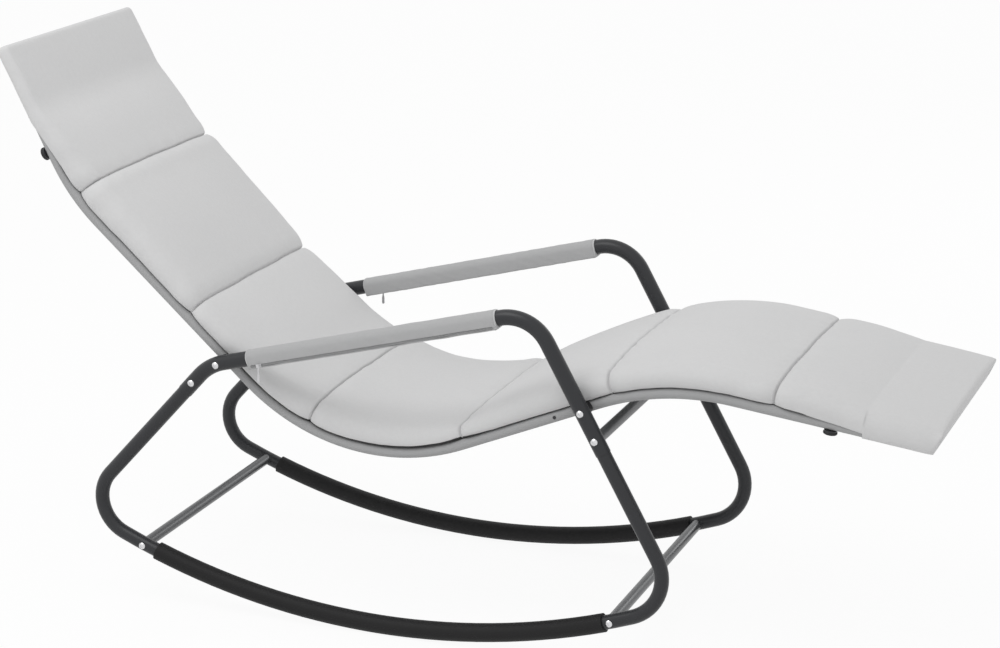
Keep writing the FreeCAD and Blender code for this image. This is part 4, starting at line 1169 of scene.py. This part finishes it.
@dataclass
class ArmRest:
    """One armrest's cloth cover with its foam liner, zip and stitched hems."""

    side: Side
    finishes: Finishes
    gauge_half: float = 270.0 * MM
    rear_corner: Pair = (-351.0, 461.0)
    front_corner: Pair = (275.5, 621.2)
    width: float = 32.0 * MM
    height: float = 33.4 * MM
    drop: float = 0.95 * MM
    top_corner: float = 13.5 * MM
    corner: float = 2.5 * MM
    cloth: float = 0.8 * MM
    fullness: float = 0.3 * MM
    wear: float = 0.22 * MM
    wear_waves: Pair = (20.0 * MM, 120.0 * MM)
    wear_ease: float = 30.0 * MM
    outer_share: float = 0.4
    hem: float = 7.0 * MM
    hem_swell: float = 0.35 * MM
    hem_slit: float = 0.08 * MM
    hem_stitch_place: float = 4.2 * MM
    hem_stitch: BeadSize = BeadSize(3.2 * MM, 2.4 * MM, 0.55 * MM, 0.55 * MM)
    draw_in: float = 2.6 * MM
    binding: float = 2.2 * MM
    bore: float = 14.3 * MM
    liner_gap: float = 1.15 * MM
    liner_setback: float = 3.2 * MM
    zip_drop: float = 12.9 * MM
    zip_width: float = 3.6 * MM
    slot_gap: float = 0.3 * MM
    tape_depth: float = 1.05 * MM
    tape_thickness: float = 0.4 * MM
    tape_span: Pair = (-2.0 * MM, 11.0 * MM)
    teeth_rows: Pair = (-0.85 * MM, 0.85 * MM)
    teeth_proud: float = 0.35 * MM
    tooth: BeadSize = BeadSize(1.5 * MM, 0.95 * MM, 1.6 * MM, 1.5 * MM)

    def __post_init__(self) -> None:
        """Works out the armrest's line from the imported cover."""
        self.rear, front = (np.array(corner) * MM + DRAWING_SHIFT for corner in (self.rear_corner, self.front_corner))
        self.direction = (front - self.rear) / np.linalg.norm(front - self.rear)
        self.up = np.array([-self.direction[1], self.direction[0]])
        low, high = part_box(f"{self.side.prefix}_arm_cover")
        lean = abs(float(self.up[0]))
        self.start = float((low.x + lean * (self.height / 2 - self.drop) - self.rear[0]) / self.direction[0])
        self.end = float((high.x - lean * (self.height / 2 + self.drop) - self.rear[0]) / self.direction[0])

    def place(self, along: Array, out: Array, rise: Array) -> Array:
        """Points in space, from the way along the armrest, outwards from its middle and square to it."""
        line = self.rear + along[:, None] * self.direction
        x, z = (line[:, axis, None] + self.up[axis] * rise for axis in (0, 1))
        return np.stack([x, np.broadcast_to(self.side.value * (self.gauge_half + out), x.shape), z], 2)

    def _grid(self, along: Array, out: Array, rise: Array) -> Array:
        """The same points, with each ring's way round mirrored on the left side."""
        return self.place(along, out, rise)[:, :: -self.side.value]

    def _outline(self, inset: float, slit: float) -> Array:
        """The cover's outline, drawn in by an inset, from the zip's lower side round to its upper side.

        Args:
            inset: how far inside the cover's outer face it runs.
            slit: how far the zip's opening is from the zip's middle, each way.

        Returns:
            The outline's (out, rise) rows, down from the zip, round the bottom, inner side and top.
        """
        half_w, half_h = self.width / 2 - inset, self.height / 2 - inset
        arcs = []
        for a, b, first in ((1, -1, 0.0), (-1, -1, -90.0), (-1, 1, 180.0), (1, 1, 90.0)):
            radius = (self.corner if b < 0 else self.top_corner) - inset
            centre = np.array([a * (half_w - radius), b * (half_h - radius) - self.drop])
            turns = np.radians(np.linspace(first, first - 90, 6 if b < 0 else 12))
            arcs.append(centre + radius * np.stack([np.cos(turns), np.sin(turns)], 1))
        share = np.linspace(0, 1, 12)[:, None]
        bulge = self.fullness * np.sin(math.pi * share)
        rows = [np.array([(half_w, -self.zip_drop - slit)]), arcs[0]]
        for before, after, outwards in zip(arcs, arcs[1:], ((0, -1), (-1, 0), (0, 1))):
            straight = before[-1] + (after[0] - before[-1]) * share + bulge * outwards
            rows += [straight[1:-1], after]
        last, upper = arcs[-1][-1][1], -self.zip_drop + slit
        rows.append(np.hstack([half_w + bulge * 0.5, last + (upper - last) * share])[1:])
        return np.vstack(rows)

    def _ring(self, place: float) -> Array:
        """The section of the cover's cloth at one place: open at the zip, hemmed and drawn in at the ends."""
        from_end = min(place - self.start, self.end - place)
        in_hem = from_end < self.hem + 0.1 * MM
        outline = self._outline(self.cloth / 2, self.hem_slit if in_hem else self.zip_width / 2 + self.slot_gap)
        drawn = max(0.0, 1 - from_end / self.draw_in) ** 2
        snug = outline * (self.bore + self.cloth / 2) / np.linalg.norm(outline, axis=1)[:, None]
        return thickened(outline + (snug - outline) * drawn, self.cloth + (self.hem_swell if in_hem else 0.0))

    def cover(self, stitches: RowTree) -> Object:
        """Makes the cover and its hems' stitches."""
        side, reach = self.side.prefix, self.end - self.start
        tips = np.array([0, 0.25, 0.7, 1.3, 2.0, 2.8, self.hem / MM, self.hem / MM + 1.2]) * MM
        middle = np.arange(13 * MM, reach - 10 * MM, 6 * MM)
        along = self.start + np.concatenate([tips, middle, reach - tips[::-1]])
        sections = np.array([self._ring(place) for place in along])
        out, rise = sections[..., 0], sections[..., 1]
        from_end = np.minimum(along - self.start, self.end - along)
        slack = ripple(11 + self.side.value, along[:, None] + rise * 2.0, *self.wear_waves)
        wear = self.wear * slack * np.clip(from_end / self.wear_ease, 0, 1)[:, None]
        out = out + wear * np.sign(out) * (np.abs(out) > self.width * self.outer_share)
        rise = rise + wear * np.sign(rise) * (np.abs(rise) > self.height * self.outer_share)
        made = GridMesh(f"{side}_arm_cloth", self._grid(along, out, rise)[:, ::-1], metres_along=along,
                        materials=[self.finishes.arm, self.finishes.binding]).build()
        bound = from_end < self.binding
        for polygon in made.data.polygons:
            row = polygon.index // sections.shape[1]
            polygon.material_index = int(row >= len(along) - 1 or (bound[row] and bound[row + 1]))
        enter(made, "arm_cloth", f"{side}_arm_cover")
        girth = length_of(self._outline(self.cloth / 2, self.zip_width / 2))
        rim = self._outline(-0.3 * MM, 0.1 * MM)
        hems = np.array([self.start + self.hem_stitch_place, self.end - self.hem_stitch_place])
        stitches.row(f"{side}_arm_stitches", self.place(hems, *columns(rim)), self.finishes.thread, "arm_cloth",
                     self.hem_stitch)
        return made

    def liner(self) -> Object:
        """Makes the foam between the tube and the cover."""
        outer = self._outline(self.liner_gap, 0.2 * MM)
        inner = outer * self.bore / np.linalg.norm(outer, axis=1)[:, None]
        half = ((1.5 * MM, inner), (0.0, inner * 1.01), (0.0, outer * 0.97), (2 * MM, outer))
        begin, end = self.start + self.liner_setback, self.end - self.liner_setback
        rings = [(begin + inset, ring) for inset, ring in half] + [(end - inset, ring) for inset, ring in half[::-1]]
        along, outlines = (np.array(part) for part in zip(*rings, rings[0]))
        grid = self._grid(along, outlines[..., 0], outlines[..., 1])
        made = GridMesh(f"{self.side.prefix}_arm_foam", grid, Cap.OPEN, materials=[self.finishes.foam]).build()
        enter(made, "foam", f"{self.side.prefix}_arm_liner")
        return made

    def zip(self, teeth: RowTree) -> Object:
        """Makes the closed zip: its tape in the cover's slot and its row of teeth."""
        side, face = self.side.prefix, self.width / 2
        begin, end = self.start + self.hem + MM, self.end - self.hem - MM
        along = np.linspace(begin, end, 60)
        low, high = (-self.zip_drop + edge for edge in self.tape_span)
        middle = np.stack([np.full(10, face - self.tape_depth), np.linspace(low, high, 10)], 1)
        grid = self._grid(along, *columns(thickened(middle, self.tape_thickness)))
        tape = GridMesh(f"{side}_zip_tape", grid, metres_along=along, materials=[self.finishes.zip_cloth]).build()
        enter(tape, "zip_teeth", f"{side}_zip_chain")
        rows = np.array([(face + self.teeth_proud, -self.zip_drop + offset) for offset in self.teeth_rows])
        lines = self.place(along, *columns(rows)).transpose(1, 0, 2)
        teeth.row(f"{side}_zip_teeth", lines, self.finishes.zip_teeth, "zip_teeth", self.tooth,
                  (0, self.side.value, 0))
        return tape

    def build(self, stitches: RowTree, teeth: RowTree) -> None:
        """Makes the whole armrest.

        Args:
            stitches: the tree that sews the hems.
            teeth: the tree that sets the zip's teeth.
        """
        self.cover(stitches)
        self.liner()
        self.zip(teeth)
        log.info("%s armrest: %.0f mm of cover", self.side.prefix, (self.end - self.start) / MM)


# The frame


@dataclass
class FrameDress:
    """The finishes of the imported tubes, fixings and zip hardware."""

    nodes: dict[str, Object]
    finishes: Finishes

    def finish_of(self, name: str) -> Material:
        """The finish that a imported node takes."""
        made = self.finishes
        endings = (("cross_tube", made.cross_tube), ("sleeve", made.rubber), ("saddles", made.plastic),
                   ("plugs", made.plastic), ("knob_screws", made.plastic), ("zip_slider", made.zip_metal),
                   ("zip_pull", made.zip_metal), ("rail_joint_screws", made.dark_screw), ("screws", made.zinc),
                   ("bolts", made.zinc), ("nuts", made.zinc), ("inserts", made.zinc))
        return next((finish for ending, finish in endings if name.endswith(ending)), made.tube)

    def dress(self) -> None:
        """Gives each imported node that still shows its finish."""
        for name, node in self.nodes.items():
            node.data.materials.clear()
            node.data.materials.append(self.finish_of(name))
        log.info("%d packed nodes have a finish", len(self.nodes))


# The studio


@dataclass
class Studio:
    """A pale floor, soft lamps and the camera."""
    camera_place: Triple = (1.712, -4.537, 1.902)
    azimuth: float = 20.55
    elevation: float = 15.81
    lens: float = 97.8
    sensor: float = 36.0
    aim: Triple = (0.0, 0.0, 0.45)
    world_strength: float = 0.74
    key_power: float = 38.0
    back_power: float = 10.0
    floor_size: float = 24.0
    floor_grey: tuple[float, float, float, float] = (0.9, 0.9, 0.9, 1.0)
    floor_glow: float = 0.93

    def floor(self) -> None:
        """Makes the floor, white to the camera and in reflections, with the object's shadow."""
        bpy.ops.mesh.primitive_plane_add(size=self.floor_size, location=(0, 0, 0))
        plane = bpy.context.object
        plane.name = "floor"
        shader = Shader("studio_floor")
        shader.tree.nodes.remove(shader.surface)
        diffuse = shader.add("ShaderNodeBsdfDiffuse", {"Color": self.floor_grey})
        glow = shader.add("ShaderNodeEmission", {"Color": WHITE, "Strength": 1.0})
        factor = shown(shader.tree) * self.floor_glow
        mixed = shader.add("ShaderNodeMixShader", {0: factor, 1: diffuse.outputs[0], 2: glow.outputs[0]})
        feed(shader.tree, shader.output.inputs["Surface"], mixed.outputs[0])
        plane.data.materials.append(shader.material)

    def world(self) -> None:
        """Lights the scene all round and shows white behind it, also in reflections."""
        world = bpy.data.worlds.new("studio")
        world.use_nodes = True
        bpy.context.scene.world = world
        tree = world.node_tree
        tree.nodes.clear()
        light, white = (add_node(tree, "ShaderNodeBackground", {"Color": WHITE, "Strength": strength}).outputs[0]
                        for strength in (self.world_strength, 1.0))
        mix = add_node(tree, "ShaderNodeMixShader", {0: shown(tree), 1: light, 2: white})
        add_node(tree, "ShaderNodeOutputWorld", {0: mix.outputs[0]})

    def lamp(self, name: str, place: Sequence[float], size: float, power: float) -> None:
        """Adds a square soft lamp that looks at the middle of the lounge.

        Args:
            name: the lamp's name.
            place: where it hangs.
            size: its side.
            power: its power in watts.
        """
        data = bpy.data.lights.new(name, "AREA")
        data.size = size
        data.energy = power
        lamp = put(name, data)
        lamp.location = place
        lamp.rotation_euler = (Vector(self.aim) - Vector(place)).to_track_quat("-Z", "Y").to_euler()

    def camera(self) -> None:
        """Sets the camera at the photographed angle."""
        data = bpy.data.cameras.new("camera")
        data.lens = self.lens
        data.sensor_width = self.sensor
        data.clip_end = 60.0
        camera = put("camera", data)
        camera.location = self.camera_place
        camera.rotation_euler = Euler((math.radians(90 - self.elevation), 0, math.radians(self.azimuth)))
        bpy.context.scene.camera = camera

    def build(self) -> None:
        """Makes the studio."""
        bpy.context.scene.view_settings.view_transform = "Standard"
        self.floor()
        self.world()
        self.lamp("key", (-1.0, -1.6, 3.4), 2.0, self.key_power)
        self.lamp("back", (1.5, 4.0, 1.7), 1.2, self.back_power)
        self.camera()


def main() -> None:
    """Builds the lounge's looks in order."""
    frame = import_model()
    finishes = Finishes()
    path = SeatPath()
    FrameDress(frame["nodes"], finishes).dress()
    stitches = RowTree("stitch_row", Bead.STITCH)
    teeth = RowTree("teeth_row", Bead.TOOTH)
    cushion = Cushion(path, finishes)
    made = cushion.build()
    log.info("cushion: %d faces", len(made.data.polygons))
    for end in HoodEnd:
        HoodMouth(cushion, end).build(stitches)
    Sling(path, finishes).build(stitches)
    for side in Side:
        ArmRest(side, finishes).build(stitches, teeth)
    Studio().build()


if __name__ == "__main__":
    main()
